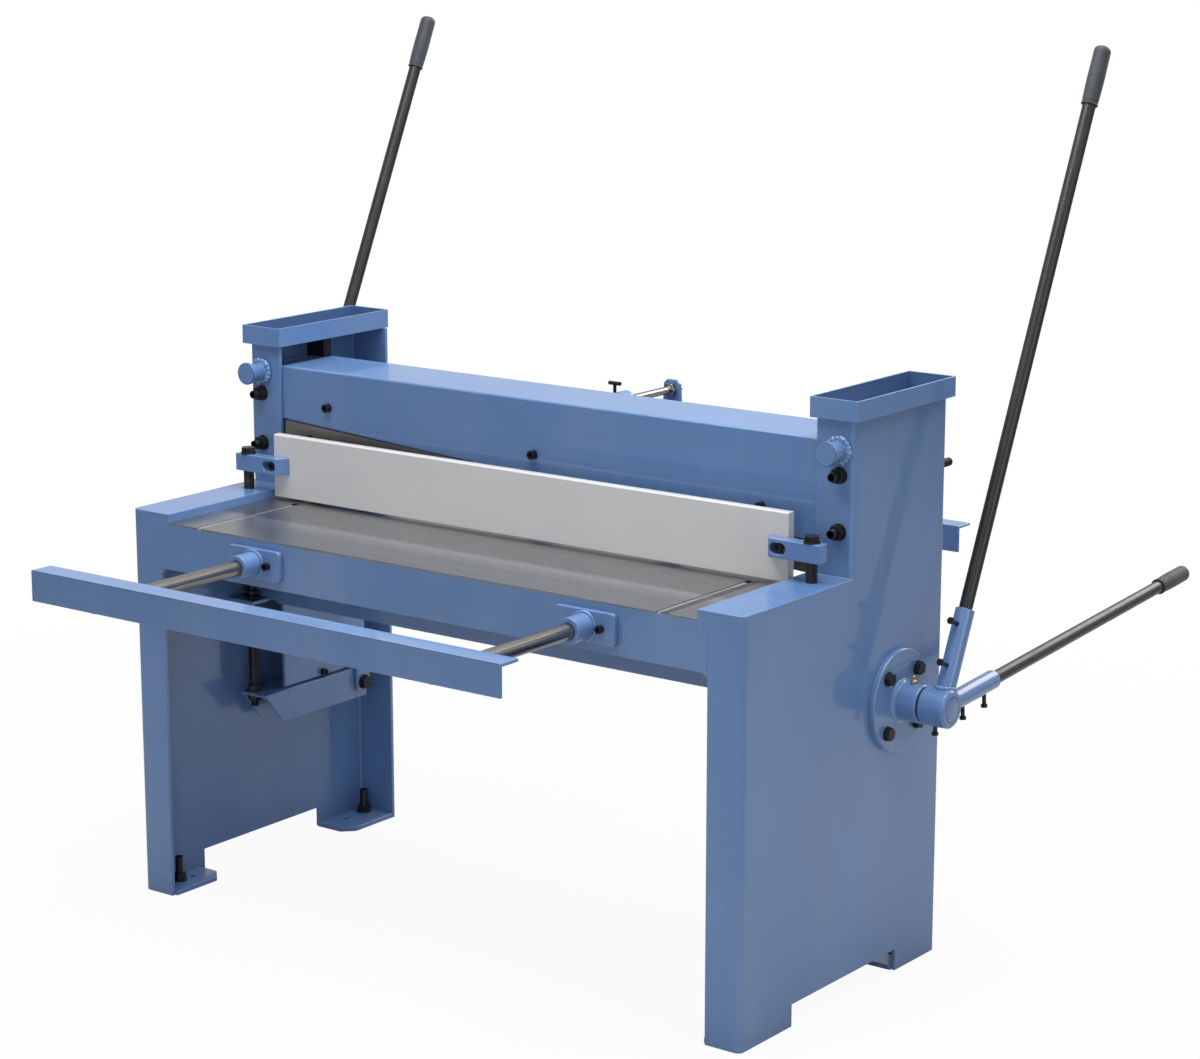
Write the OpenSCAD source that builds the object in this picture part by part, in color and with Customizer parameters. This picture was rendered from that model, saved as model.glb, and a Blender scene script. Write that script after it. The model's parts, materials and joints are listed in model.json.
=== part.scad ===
// Hand-lever sheet metal shear. X runs along the blades, Y from the operator to the back,
// Z up. The origin is on the floor, at the centre of the four anchor holes.
// The rest position has the blade beam up and the levers leaning back.

/* [Frame] */
// Depth of the columns, front face to rear face
column_d = 326; // [290:1:400]
// Height of the shelf in front of each column
shelf_h = 812; // [700:1:920]
// Height of the columns above the shelf
column_rise = 294; // [270:1:340]
// Depth of the shelf, from the front face back to the column
shelf_d = 354; // [310:1:400]
// Width of the shelf, from the outer face to the table
shelf_w = 101; // [90:1:114]
// Sheet thickness of the end frames
frame_t = 8; // [6:0.5:9]
// Outside radius of the folds in the end frames
fold_r = 12; // [10:0.5:16]
// Width of the front leg flange
leg_w = 78; // [70:1:84]
// Gap between the end of the upper blade and the flange in front of a column
column_flange_gap = 11; // [6:0.5:14]
// Width of the rear flange
rear_flange_w = 100; // [90:1:110]
// Height of the notch under each side plate
notch_h = 43; // [30:1:60]
// Depth of the front foot under a side plate
front_foot_d = 169; // [160:1:190]
// Depth of the rear foot under a side plate
rear_foot_d = 150; // [140:1:170]
// Thickness of the foot plates
foot_t = 10; // [8:0.5:14]
// Diameter of the anchor holes
anchor_d = 14; // [11:0.5:18]
// Distance of the anchor holes from the front and rear faces
anchor_inset = 96; // [90:1:104]
// Height of the front apron, from its lower edge to the shelf's level
apron_h = 114; // [104:1:130]
// Size of the corner webs under the apron's ends
apron_web = 10; // [6:1:16]

/* [Table and blades] */
// Step from the shelf down to the table
shelf_step = 17; // [12:1:20]
// Thickness of the table plate
table_t = 20; // [18:1:24]
// Thickness of the table's front lip over the apron
table_lip = 4; // [3:0.5:6]
// Distance from a shelf to the T-slot beside it
slot_inset = 83; // [50:1:160]
// Width of a T-slot's neck
slot_neck = 14; // [12:0.5:18]
// Width of a T-slot's foot
slot_foot = 24; // [21:0.5:28]
// Distance from the closed end of a T-slot to the lower blade
slot_stop = 47; // [30:1:90]
// Thickness of the two blades
blade_t = 14; // [12.5:0.1:14]
// Height of the lower blade
lower_blade_h = 50; // [40:1:60]
// Height of the upper blade
upper_blade_h = 60; // [57:0.5:61]
// Half length of the upper blade, which the beam, the table and the frame follow
upper_blade_half = 655; // [500:5:760]
// Gap between the blades as they pass
blade_gap = 0.3; // [0.3:0.05:0.5]
// Thickness of the bed plate behind the table
bed_t = 12; // [10:0.5:16]
// Thickness of the inner plates that carry the lever shaft
inner_t = 8; // [6:0.5:10]

/* [Blade beam] */
// Length of the beam's box beyond each end of the upper blade
beam_over = 15; // [12:0.5:20]
// Depth of the beam's box
beam_d = 160; // [140:1:175]
// Distance of the beam's top face below the columns' tops
beam_top_drop = 41; // [36:1:56]
// Height of the beam's lower edge at mid length above the shelf
beam_low_rise = 98; // [90:0.5:110]
// Fall of the beam's lower edge to the right, per unit length
rake = 0.0625; // [0.06:0.0005:0.064]
// Wall thickness of the beam
beam_t = 8; // [6:0.5:9]
// Thickness of the bar that carries the upper blade
carrier_t = 24; // [18:1:28]
// Distance of the outer bolts in the beam's face from the beam's ends
face_bolt_inset = 130; // [90:1:200]

/* [Hold-down] */
// Gap between an end of the hold-down bar and the shelf
bar_end_gap = 9; // [6:0.5:20]
// Thickness of the hold-down bar
bar_t = 20; // [16:0.5:24]
// Height of the hold-down bar
bar_h = 132; // [110:1:140]
// Travel of the hold-down bar, from its raised place down to just above the table
bar_travel = 4.5; // [3:0.1:8]
// Depth of the brackets that carry the bar
bracket_d = 26; // [24:0.5:30]
// Height of the brackets that carry the bar
bracket_h = 36; // [30:1:44]
// Length of a bracket beyond the axis of its rod
bracket_over = 25; // [20:0.5:28]
// Diameter of the rods that pull the bar down
pull_d = 22; // [18:0.5:24]
// Distance of the rods from the outer faces of the frame
pull_inset = 50; // [48:0.5:54]
// Number of turns in a lifting spring
lift_turns = 9; // [6:1:12]
// Number of turns in a presser spring
press_turns = 10; // [7:1:13]

/* [Lever shaft] */
// Distance of the shaft's axis below the shelf
shaft_drop = 264; // [240:1:290]
// Distance of the shaft's axis behind the front of the columns
shaft_set_back = 161; // [150:0.5:170]
// Diameter of the shaft
shaft_d = 50; // [44:1:52]
// Radius of the cranks on the shaft
crank_r = 72; // [71:0.1:72]
// Swing of the levers, in degrees
swing = 85; // [84:0.5:85]
// Diameter of the bearing flanges
flange_d = 200; // [190:1:220]
// Thickness of the bearing flanges
flange_t = 13; // [10:0.5:16]
// Diameter of the bearing bosses and the lever hubs
boss_d = 74; // [66:1:80]
// Length of a bearing boss and its flange, outside the frame
boss_l = 62; // [54:1:70]
// Length of a lever hub
hub_l = 56; // [50:1:64]
// Bolt circle diameter of the bearing flanges
flange_pcd = 150; // [136:1:160]

/* [Levers] */
// Lean of the front levers behind vertical, in degrees
lever_lean = 24.8; // [20:0.1:30]
// Rise of the rear levers above horizontal, in degrees
rear_rise = 4; // [0:0.5:6]
// Reach of a front lever from the shaft's axis to its tip
front_reach = 1319; // [1100:1:1400]
// Reach of a rear lever from the shaft's axis to its tip
rear_reach = 1003; // [900:1:1100]
// Diameter of the lever tubes
lever_d = 26; // [24:0.5:28]
// Wall thickness of the lever tubes
lever_wall = 4; // [3:0.25:6]
// Outside diameter of the lever sockets
socket_d = 37; // [35:0.5:40]
// Reach of a lever socket from the shaft's axis
socket_reach = 192; // [185:1:210]
// Diameter of the grips
grip_d = 34; // [31:0.5:38]
// Length of the grips
grip_l = 120; // [90:1:140]

/* [Front support] */
// Reach of the front support in front of the frame
support_reach = 450; // [380:1:520]
// Distance from the outer face of the frame to the end of the support angle
support_inset = 185; // [130:1:230]
// Height of the support angle's front face
support_h = 60; // [58:1:70]
// Width of the support angle's top
support_w = 50; // [40:1:60]
// Thickness of the support angle
support_t = 6; // [4:0.5:8]
// Distance of the support rods from the ends of the support angle
support_rod_inset = 157; // [125:1:215]
// Diameter of the support rods
support_d = 30; // [25:0.5:32]
// Depth of the rods' axes under the table
support_drop = 48; // [46:0.5:50]
// Length of the rods behind the frame's front face
support_engage = 150; // [120:1:160]

/* [Back gauge] */
// Distance from the outer face of the frame to the end of the gauge angle
gauge_inset = 50; // [30:1:150]
// Distance from the frame's rear face to the gauge's face
gauge_back = 138; // [132:1:160]
// Height of the gauge angle
gauge_h = 52; // [46:1:60]
// Width of the gauge angle's top
gauge_w = 45; // [40:1:55]
// Thickness of the gauge angle
gauge_t = 5; // [4:0.5:6]
// Rise of the gauge angle above the table
gauge_rise = 27; // [20:1:32]
// Place of the gauge's guide rods, as a share of the gauge's half length
gauge_rod_share = 0.5; // [0.4:0.01:0.6]
// Diameter of the gauge's guide rods
gauge_rod_d = 24; // [20:0.5:25]
// Diameter of the gauge's locking rod
lock_rod_d = 16; // [12:0.5:18]

/* [Tool trays] */
// Overhang of a tray around its column
tray_lip = 10; // [6:0.5:14]
// Height of a tray
tray_h = 39; // [30:1:50]
// Sheet thickness of a tray
tray_t = 3; // [2:0.25:4]

/* [Hidden] */
$fn = 48;

// Paint and metal colours
blue = [0.35, 0.47, 0.65];
grey_paint = [0.71, 0.72, 0.71];
ground_steel = [0.62, 0.63, 0.64];
blade_steel = [0.45, 0.44, 0.43];
black_steel = [0.08, 0.08, 0.09];
bronze = [0.62, 0.46, 0.24];
rubber_grey = [0.22, 0.23, 0.27];

// Clearances: sliding faces of different bodies, round running fits, seated round fits
slide_gap = 0.3;
run_gap = 0.05;
seat_gap = 0.03;
// Overrun of every cut past the face it leaves
cut = 1;
// Proportions of bolts, nuts and washers, per shank diameter
head_share = 1.6;
head_h_share = 0.65;
nut_h_share = 0.8;
washer_share = 2;
washer_t_share = 0.18;
hex_corner_share = 2 / sqrt(3);
cap_share = 1.5;
cap_key_share = 0.95;
flat_head_share = 2;
flat_head_h_share = 0.5;
flat_key_share = 0.7;
flat_key_h_share = 0.3;
// Turn that sets a hexagon's flat to the side
hex_turn = 30;
// Small edge break, and depth of a sunk screw head under its face
edge = 1;
sink = 1;

// Main planes of the frame
beam_half = upper_blade_half + beam_over;
end_w = 80;
half_w = beam_half + end_w;
frame_d = shelf_d + column_d;
front_y = -frame_d / 2;
rear_y = frame_d / 2;
column_y = front_y + shelf_d;
column_h = shelf_h + column_rise;
column_flange_w = half_w - upper_blade_half - column_flange_gap;
wall_x = half_w - frame_t;
table_z = shelf_h - shelf_step;
apron_low_z = shelf_h - apron_h;
shelf_x = half_w - shelf_w;
guide_face_y = column_y + frame_t;

// Feet, anchor holes and levelling bolts
foot_gap = 7;
foot_chamfer = 26;
front_foot_inset = 18;
rear_foot_out = 5;
anchor_side = 41;
anchor_x = half_w - anchor_side;
level_d = 16;
level_side = 38;
level_x = half_w - level_side;
level_front = 62;
level_rear = 34;
level_l = 62;

// Table, lower blade and bed
table_fit = 0.2;
table_half = shelf_x - table_fit;
slot_neck_h = 6;
slot_h = 14;
lip_d = 16;
slot_x = shelf_x - slot_inset;
blade_set = 19;
blade_face_y = guide_face_y - blade_set;
cut_y = blade_face_y + blade_t + blade_gap;
bed_h = 215;
bed_low_z = table_z - table_t - bed_h;
lower_screws = 10;
lower_screw_inset = 72.8;
lower_screw_pitch = 2 * (table_half - lower_screw_inset) / (lower_screws - 1);
blade_screw_d = 10;

// Plates inside the frame, which carry the lever shaft at each end
shaft_y = column_y + shaft_set_back;
shaft_z = shelf_h - shaft_drop;
inner_inset = 90;
inner_x = half_w - inner_inset;
inner_d = 257;
inner_rear_y = blade_face_y + inner_d;
inner_drop = 173.5;
inner_low_z = shaft_z - inner_drop;
inner_top_gap = 1;
inner_top_z = table_z - lower_blade_h - inner_top_gap;
bush_wall = 7;
bush_l = 20;
bush_out = 4;

// Blade beam, blade and carrier
blade_proud = 6;
beam_y = cut_y + blade_proud - blade_gap;
beam_rear_y = beam_y + beam_d;
beam_wall_y = beam_y + beam_t;
beam_top_z = column_h - beam_top_drop;
beam_low_z = shelf_h + beam_low_rise;
carrier_rise = 70;
face_bolt_d = 12;
face_bolt_rise = 45;
face_bolt_x = beam_half - face_bolt_inset;
blade_half_screws = 4;
blade_screw_inset = 67;
blade_screw_step = (upper_blade_half - blade_screw_inset) / blade_half_screws;
carrier_up = 2;
screw_short = 4;
floor_clear = 8;

// Guides at the ends of the beam
guide_out = 24;
guide_wall_gap = 8;
guide_x = beam_half + guide_out;
guide_w = wall_x - guide_wall_gap - guide_x;
gib_t = 10.4;
guide_front_y = guide_face_y + gib_t + 2 * slide_gap;
guide_low_drop = 30;
guide_low_z = beam_low_z - guide_low_drop;
guide_top_drop = 5;
guide_top_z = beam_top_z - guide_top_drop;
guide_wall = 16;
guide_inner_wall = 4;
guide_outer_wall = 6;
gib_over = 20;
gib_stud_d = 16;
gib_stud_side = 33;
gib_stud_x = half_w - gib_stud_side;
gib_stud_drops = [209, 103];
gib_stud_z = [for (drop = gib_stud_drops) column_h - drop];
gib_stud_out = 30;
rail_d = 24;
rail_low = 80;
rail_top = 6;
jack_d = 16;
jack_x = gib_stud_x;
jack_drop = 140;
jack_z = column_h - jack_drop;
jack_out = 66;

// Lifting pins
pin_side = 34;
pin_x = half_w - pin_side;
pin_drop = 56;
pin_z = column_h - pin_drop;
pin_l = 50;
pin_d = 36;
pin_end_d = 46;
pin_end_t = 9;
pin_weld_d = 50;
pin_weld_neck_d = 40;
pin_neck_l = 2;

// Lever shaft, crank, roller and fork
crank_gap = 4;
fork_front_gap = 2;
fork_rear_gap = 5;
rod_set_back = 7;
lever_offset = 4;
swing_rad = swing * PI / 180;
crank_rate = crank_r * (1 - swing_rad * swing_rad / 32);
stroke = crank_rate * swing_rad;
fork_side = 54;
fork_x = half_w - fork_side;
fork_t = 28;
pull_rod_d = 28;
crank_t = 22;
crank_x = wall_x - crank_gap - crank_t;
crank_hub_d = 80;
crank_boss_d = 44;
crank_pin_d = 24;
roller_d = 38;
roller_l = 24;
fork_play = 1.8;
fork_wall = 16;
fork_z = shaft_z + stroke / 2;
fork_mid_y = shaft_y - crank_r;
fork_front_y = fork_mid_y - roller_d / 2 - fork_front_gap - fork_wall;
fork_rear_y = shaft_y - shaft_d / 2 - fork_rear_gap;
fork_half_h = roller_d / 2 + fork_play;
pull_rod_y = fork_mid_y + rod_set_back;
lug_low = 5;
lug_z = beam_low_z - lug_low;
lug_t = 22;
nut_t = 18;
nut_side = 41;
washer_gap = 4;
hub_x = half_w + boss_l + washer_gap;
lever_x = hub_x + hub_l / 2 + lever_offset;
hub_chamfer = 4;
hub_edge = 2;
shaft_inset = 1;
hub_screw_share = 0.36;
crank_neck_share = 0.8;
washer_step = 8;
fork_corner = 6;
rod_thread = 16;
flange_bolt_d = 14;
flange_edge = 2;
boss_weld = 6;
nipple_hole_wall = 3;
spigot_d = 80;
nipple_d = 8;
nipple_h = 16;
nipple_seat = 6;
// Profile of a grease nipple: radius per diameter, height per height
nipple_shares = [
    [0, 0], [0.7, 0], [0.7, 0.35], [0.3, 0.45], [0.28, 0.7], [0.42, 0.82], [0.42, 0.92],
    [0.2, 1], [0, 1]
];

// Levers
tube_start = 64;
tube_stop_gap = 12;
set_screw_d = 8;
set_screw_shares = [0.41, 0.83];
set_screw_out = 28;
grip_round_share = 0.55;
grip_angles = [0, 15, 30, 45, 60, 75, 90];
hub_screw_out = 18;

// Hold-down bar, brackets, rods and arms
bar_half = shelf_x - bar_end_gap;
bar_ahead = 40;
bar_y = blade_face_y - bar_ahead;
bar_low_z = table_z + bar_travel + slide_gap;
bar_chamfer = 2;
pull_x = half_w - pull_inset;
bracket_y = bar_y - bracket_d;
bracket_rise = 55;
bracket_low_z = table_z + bracket_rise;
bracket_screw_side = 13;
bracket_screw_x = bar_half - bracket_screw_side;
bracket_nose = 12;
bracket_x = bracket_screw_x - bracket_nose;
bracket_slot_w = 18;
bracket_screw_d = 10;
bracket_head_d = 17;
bracket_head_h = 13;
bracket_edge = 2;
bracket_slot_l = 31;
pull_y = bar_y - bracket_d / 2;
stud_d = 16;
rod_bush_l = 32;
rod_bush_wall = 5;
seat_drop = 237;
seat_z = shelf_h - seat_drop;
seat_t = 8;
seat_d = 52;
seat_hole_play = 2;
lift_top_drop = 112;
lift_top_z = shelf_h - lift_top_drop;
collar_t = 12;
lift_spring_r = 17;
lift_wire = 4.5;
collar_d = 40;
arm_drop = 176;
arm_top_z = shaft_z - arm_drop;
arm_h = 68;
arm_low_z = arm_top_z - arm_h;
arm_nose = 20;
arm_nose_y = pull_y - arm_nose;
arm_chin = 34;
arm_chin_y = pull_y + arm_chin;
arm_tail = 8;
arm_rear_y = inner_rear_y - arm_tail;
arm_out = 10;
arm_x = inner_x - arm_out;
arm_w = 72;
arm_t = 6;
rod_low_rise = 24;
rod_low_z = arm_top_z + rod_low_rise;
stud_low_drop = 32;
stud_low_z = arm_top_z - stud_low_drop;
pivot_ahead = 20;
pivot_y = arm_rear_y - pivot_ahead;
pivot_drop = 32;
pivot_z = arm_top_z - pivot_drop;
pivot_d = 16;
ear_t = 8;
ear_gap = 2;
ear_w = 40;
ear_rise = 38;
ear_top_z = arm_top_z + ear_rise;
ear_drop = 18;
ear_low_z = pivot_z - ear_drop;
ear_step = 6;
stop_out = 2;
stop_reach = 110;
stop_y = pivot_y - stop_reach;
stop_rise = 11;
stop_z = arm_top_z + stop_rise;
stop_d = 10;
press_spring_r = 16;
press_wire = 5.5;
spring_pin_d = 20;
spring_pin_l = 24;
arm_hole_play = 1.5;
rod_nut_gap = 0.5;

// Front support
support_half = half_w - support_inset;
support_x = support_half - support_rod_inset;
support_z = table_z - support_drop;
socket_plate_w = 136;
socket_plate_h = 62;
socket_plate_t = 12;
socket_corner = 8;
socket_tube_d = 50;
socket_tube_l = 48;
socket_screw_x = 38;
socket_screw_d = 10;
apron_t = frame_t;
rod_hole_play = 1;

// Back gauge
gauge_half = half_w - gauge_inset;
gauge_rod_x = gauge_half * gauge_rod_share;
gauge_y = rear_y + gauge_back;
gauge_top_z = table_z + gauge_rise;
gauge_rod_rise = 40;
gauge_rod_z = beam_low_z + gauge_rod_rise;
gauge_collar_d = 36;
gauge_collar_t = 12;
gauge_bush_d = 40;
gauge_bush_l = 50;
hanger_t = 8;
hanger_w = 60;
hanger_corner = 8;
hanger_set_back = 10;
gauge_rod_over = 137;
lock_rod_over = 6;
gauge_rod_end_y = gauge_y + gauge_rod_over;
lock_drop = 45;
lock_z = beam_top_z - lock_drop;
lock_tube_d = 40;
lock_tube_l = 152;
lock_screw_out = 107;
lock_screw_y = beam_rear_y + lock_screw_out;
lock_screw_d = 7;
lock_bar_d = 8;
lock_bar_l = 29;
lock_stem_l = 16;
lock_rod_front = 3;

// Trays
tray_z = column_h;

// A box between two corners
module span(low, high) {
    translate(low) cube(high - low);
}

// Round bars along the three axes
module x_bar(d, x0, x1, y, z) {
    translate([x0, y, z]) rotate([0, 90, 0]) cylinder(d = d, h = x1 - x0);
}
module y_bar(d, y0, y1, x, z) {
    translate([x, y0, z]) rotate([-90, 0, 0]) cylinder(d = d, h = y1 - y0);
}
module z_bar(d, z0, z1, x, y) {
    translate([x, y, z0]) cylinder(d = d, h = z1 - z0);
}

// The same piece at the right-hand end and mirrored at the left-hand end
module both_ends() {
    children();
    mirror([1, 0, 0]) children();
}

// A profile of Y and Z points, extruded along X
module yz_plate(x0, x1, points) {
    translate([x0, 0, 0]) rotate([90, 0, 90]) linear_extrude(x1 - x0) polygon(points);
}

// A profile of X and Z points, extruded along Y
module xz_plate(y0, y1, points) {
    translate([0, y1, 0]) rotate([90, 0, 0]) linear_extrude(y1 - y0) polygon(points);
}

// Hexagon of a given shank diameter, standing on z = 0
module hexagon(shank, h) {
    cylinder(d = shank * head_share * hex_corner_share, h = h, $fn = 6);
}

// Hexagon bolt: head above z = 0 on a washer, shank below
module hex_bolt(shank, under) {
    washer_h = shank * washer_t_share;
    cylinder(d = shank * washer_share, h = washer_h);
    translate([0, 0, washer_h]) hexagon(shank, shank * head_h_share);
    translate([0, 0, -under]) cylinder(d = shank, h = under + washer_h);
}

// Threaded stud with a nut and washer: the nut stands on z = 0
module stud_with_nut(shank, over, under) {
    washer_h = shank * washer_t_share;
    difference() {
        union() {
            cylinder(d = shank * washer_share, h = washer_h);
            translate([0, 0, washer_h]) hexagon(shank, shank * nut_h_share);
        }
        translate([0, 0, -cut]) cylinder(d = shank + 2 * seat_gap, h = shank + over);
    }
    translate([0, 0, -under]) cylinder(d = shank, h = under + over);
}

// Socket head screw: head above z = 0 with its hexagon socket, shank below
module socket_screw(shank, under) {
    difference() {
        cylinder(d = shank * cap_share, h = shank);
        translate([0, 0, shank / 2]) cylinder(d = shank * cap_key_share, h = shank, $fn = 6);
    }
    translate([0, 0, -under]) cylinder(d = shank, h = under);
}

// Countersunk screw, its flat head flush with z = 0
module countersunk_screw(shank, under) {
    difference() {
        flat_head(shank);
        translate([0, 0, -shank * flat_key_h_share]) {
            cylinder(d = shank * flat_key_share, h = shank, $fn = 6);
        }
    }
    translate([0, 0, -under]) cylinder(d = shank, h = under - shank * flat_head_h_share);
}
module flat_head(shank) {
    h = shank * flat_head_h_share;
    translate([0, 0, -h]) cylinder(d1 = shank, d2 = shank * flat_head_share, h = h);
}

// The hole for a countersunk screw
module countersunk_hole(shank, under) {
    grown = shank + 2 * seat_gap;
    flat_head(grown);
    cylinder(d = grown * flat_head_share, h = cut);
    translate([0, 0, -under]) cylinder(d = grown, h = under);
}

// Height of the beam's lower edge at a place along the beam
function edge_z(x) = beam_low_z - rake * x;

// Outline of an end frame seen from above, as a folded sheet with two flanges
module fold_outline(y0, y1, front_w, rear_w) {
    deep = max(front_w, rear_w);
    difference() {
        rounded_end(half_w - deep, half_w, y0, y1, fold_r);
        rounded_end(half_w - deep - cut, wall_x, y0 + frame_t, y1 - frame_t, fold_r - frame_t);
        translate([half_w - deep - cut, y0 - cut]) square([deep - front_w + cut, frame_t + 2 * cut]);
        translate([half_w - deep - cut, y1 - frame_t - cut]) {
            square([deep - rear_w + cut, frame_t + 2 * cut]);
        }
    }
}

// A rectangle whose two right-hand corners are round
module rounded_end(x0, x1, y0, y1, r) {
    translate([x0, y0]) square([x1 - r - x0, y1 - y0]);
    translate([x1 - 2 * r, y0 + r]) square([2 * r, y1 - y0 - 2 * r]);
    translate([x1 - r, y0 + r]) circle(r = r);
    translate([x1 - r, y1 - r]) circle(r = r);
}

// Bearing bolt places on the flange, as angles
bearing_angles = [45, 135, 225, 315];
module at_bearing_bolts() {
    for (a = bearing_angles) {
        translate([0, shaft_y, shaft_z]) rotate([a, 0, 0]) translate([0, flange_pcd / 2, 0]) {
            children();
        }
    }
}

// One end frame: side plate, leg flange, column flange, rear flange and shelf
module end_frame() {
    difference() {
        union() {
            linear_extrude(shelf_h) fold_outline(front_y, rear_y, leg_w, rear_flange_w);
            linear_extrude(column_h) fold_outline(column_y, rear_y, column_flange_w, rear_flange_w);
            span([shelf_x, front_y, shelf_h - frame_t], [half_w - fold_r, column_y + frame_t, shelf_h]);
            span([half_w - fold_r, front_y + fold_r, shelf_h - frame_t], [half_w, column_y, shelf_h]);
            span([shelf_x, front_y, table_z - table_t], [shelf_x + frame_t, column_y, shelf_h]);
            span([shelf_x, front_y, table_z - table_t],
                [half_w - leg_w + cut, front_y + frame_t, shelf_h]);
        }
        // Room for the mechanism below the shelf, behind the column flange
        span([half_w - column_flange_w - cut, column_y - cut, -cut],
            [wall_x - fold_r, guide_face_y + fold_r, shelf_h - frame_t]);
        span([half_w - column_flange_w - cut, column_y - cut, -cut],
            [wall_x, column_y + fold_r + cut, shelf_h - frame_t]);
        // Room for the upper blade beside the column flange
        span([shelf_x - cut, blade_face_y + blade_t, table_z - table_t - cut],
            [half_w - column_flange_w, guide_face_y + cut, shelf_h + cut]);
        // Notch between the feet
        span([half_w - rear_flange_w - cut, front_y + front_foot_d, -cut],
            [half_w + cut, rear_y - rear_foot_d, notch_h]);
        // Bearing seat and its bolts
        x_bar(spigot_d + 2 * seat_gap, wall_x - cut, half_w + cut, shaft_y, shaft_z);
        at_bearing_bolts() {
            x_bar(flange_bolt_d + 2 * seat_gap, wall_x - cut, half_w + cut, 0, 0);
        }
        // Gib studs, rear jack bolt and hold-down rod bush
        for (z = gib_stud_z) {
            y_bar(gib_stud_d + 2 * seat_gap, column_y - cut, guide_face_y + cut, gib_stud_x, z);
        }
        y_bar(jack_d + 2 * seat_gap, rear_y - frame_t - cut, rear_y + cut, jack_x, jack_z);
        z_bar(pull_d + 2 * rod_bush_wall + 2 * seat_gap, shelf_h - frame_t - cut, shelf_h + cut,
            pull_x, pull_y);
    }
}
module right_end_frame() {
    color(blue) end_frame();
}
module left_end_frame() {
    color(blue) mirror([1, 0, 0]) end_frame();
}

// Foot plate with an anchor and a levelling hole, chamfered at its free corner and at the
// fold of the end frame; s is 1 when its free end is at the back
module foot_plate(low_x, y_fold, y_free, s, hole_y, level_y) {
    r = fold_r - frame_t;
    difference() {
        linear_extrude(foot_t) polygon([
            [low_x, y_fold], [wall_x - r, y_fold], [wall_x, y_fold + s * r], [wall_x, y_free],
            [low_x + foot_chamfer, y_free], [low_x, y_free - s * foot_chamfer]
        ]);
        z_bar(anchor_d, -cut, foot_t + cut, anchor_x, hole_y);
        z_bar(level_d + 2 * seat_gap, -cut, foot_t + cut, level_x, level_y);
    }
}
front_level_y = front_y + level_front;
rear_level_y = rear_y - level_rear;
module foot_plates() {
    color(blue) both_ends() {
        foot_plate(half_w - leg_w - foot_gap, front_y + frame_t,
            front_y + front_foot_d - front_foot_inset, 1, front_y + anchor_inset, front_level_y);
        foot_plate(half_w - rear_flange_w, rear_y - frame_t,
            rear_y - rear_foot_d - rear_foot_out, -1, rear_y - anchor_inset, rear_level_y);
    }
}
module levelling_bolts() {
    color(black_steel) both_ends() {
        for (y = [front_level_y, rear_level_y]) {
            translate([level_x, y, foot_t]) stud_with_nut(level_d, level_l - foot_t, foot_t);
        }
    }
}

// Front apron between the legs, with a small web in each corner of the opening
module front_apron() {
    leg_x = half_w - leg_w;
    top = table_z - table_lip;
    color(blue) difference() {
        xz_plate(front_y, front_y + apron_t, [
            [-leg_x, apron_low_z - apron_web], [-leg_x + apron_web, apron_low_z],
            [leg_x - apron_web, apron_low_z], [leg_x, apron_low_z - apron_web],
            [leg_x, table_z - table_t], [shelf_x, table_z - table_t],
            [shelf_x, top], [-shelf_x, top],
            [-shelf_x, table_z - table_t], [-leg_x, table_z - table_t]
        ]);
        for (x = [-support_x, support_x]) {
            y_bar(support_d + 2 * rod_hole_play, front_y - cut, front_y + apron_t + cut, x, support_z);
            for (s = [-1, 1]) {
                y_bar(socket_screw_d + 2 * seat_gap, front_y - cut, front_y + apron_t + cut,
                    x + s * socket_screw_x, support_z);
            }
        }
    }
}

// Table plate with its front lip and two T-slots
module table_plate() {
    color(ground_steel) difference() {
        union() {
            span([-table_half, front_y, table_z - table_lip],
                [table_half, front_y + lip_d, table_z]);
            span([-table_half, front_y + apron_t + table_fit, table_z - table_t],
                [table_half, blade_face_y, table_z]);
        }
        for (x = [-slot_x, slot_x]) {
            span([x - slot_neck / 2, front_y - cut, table_z - slot_neck_h - cut],
                [x + slot_neck / 2, blade_face_y - slot_stop, table_z + cut]);
            span([x - slot_foot / 2, front_y - cut, table_z - slot_h],
                [x + slot_foot / 2, blade_face_y - slot_stop, table_z - slot_neck_h]);
        }
    }
}

// Bed plate that backs the lower blade
module bed_plate() {
    color(blue) difference() {
        span([-inner_x - inner_t, blade_face_y - bed_t, bed_low_z],
            [inner_x + inner_t, blade_face_y, table_z - table_t]);
        at_lower_screws() cylinder(d = blade_screw_d + 2 * seat_gap, h = 2 * bed_t + cut, center = true);
    }
}
module at_lower_screws() {
    for (i = [0 : lower_screws - 1]) {
        x = (i - (lower_screws - 1) / 2) * lower_screw_pitch;
        translate([x, blade_face_y, table_z - table_t - (lower_blade_h - table_t) / 2]) {
            rotate([-90, 0, 0]) children();
        }
    }
}

// Lower blade, bolted to the rear of the bed plate
module lower_blade() {
    color(blade_steel) difference() {
        span([-table_half, blade_face_y, table_z - lower_blade_h],
            [table_half, blade_face_y + blade_t, table_z]);
        at_lower_screws() translate([0, 0, blade_t - sink]) {
            countersunk_hole(blade_screw_d, blade_t + cut);
        }
    }
}
module lower_blade_screws() {
    color(black_steel) at_lower_screws() {
        translate([0, 0, blade_t - sink]) countersunk_screw(blade_screw_d, blade_t - sink + bed_t);
    }
}

// Inner plates: side plate with a front and a rear web reaching the end frame
module inner_plates() {
    outer = inner_x + inner_t;
    color(blue) both_ends() difference() {
        union() {
            span([inner_x, blade_face_y, inner_low_z], [outer, inner_rear_y, inner_top_z]);
            span([inner_x, blade_face_y, bed_low_z], [wall_x, blade_face_y + inner_t, inner_top_z]);
            span([inner_x, inner_rear_y - inner_t, inner_low_z], [wall_x, inner_rear_y, inner_top_z]);
        }
        x_bar(shaft_d + 2 * bush_wall + 2 * seat_gap, inner_x - cut, outer + cut, shaft_y, shaft_z);
        x_bar(stop_d + 2 * seat_gap, inner_x - cut, outer + cut, stop_y, stop_z);
    }
}

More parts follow.
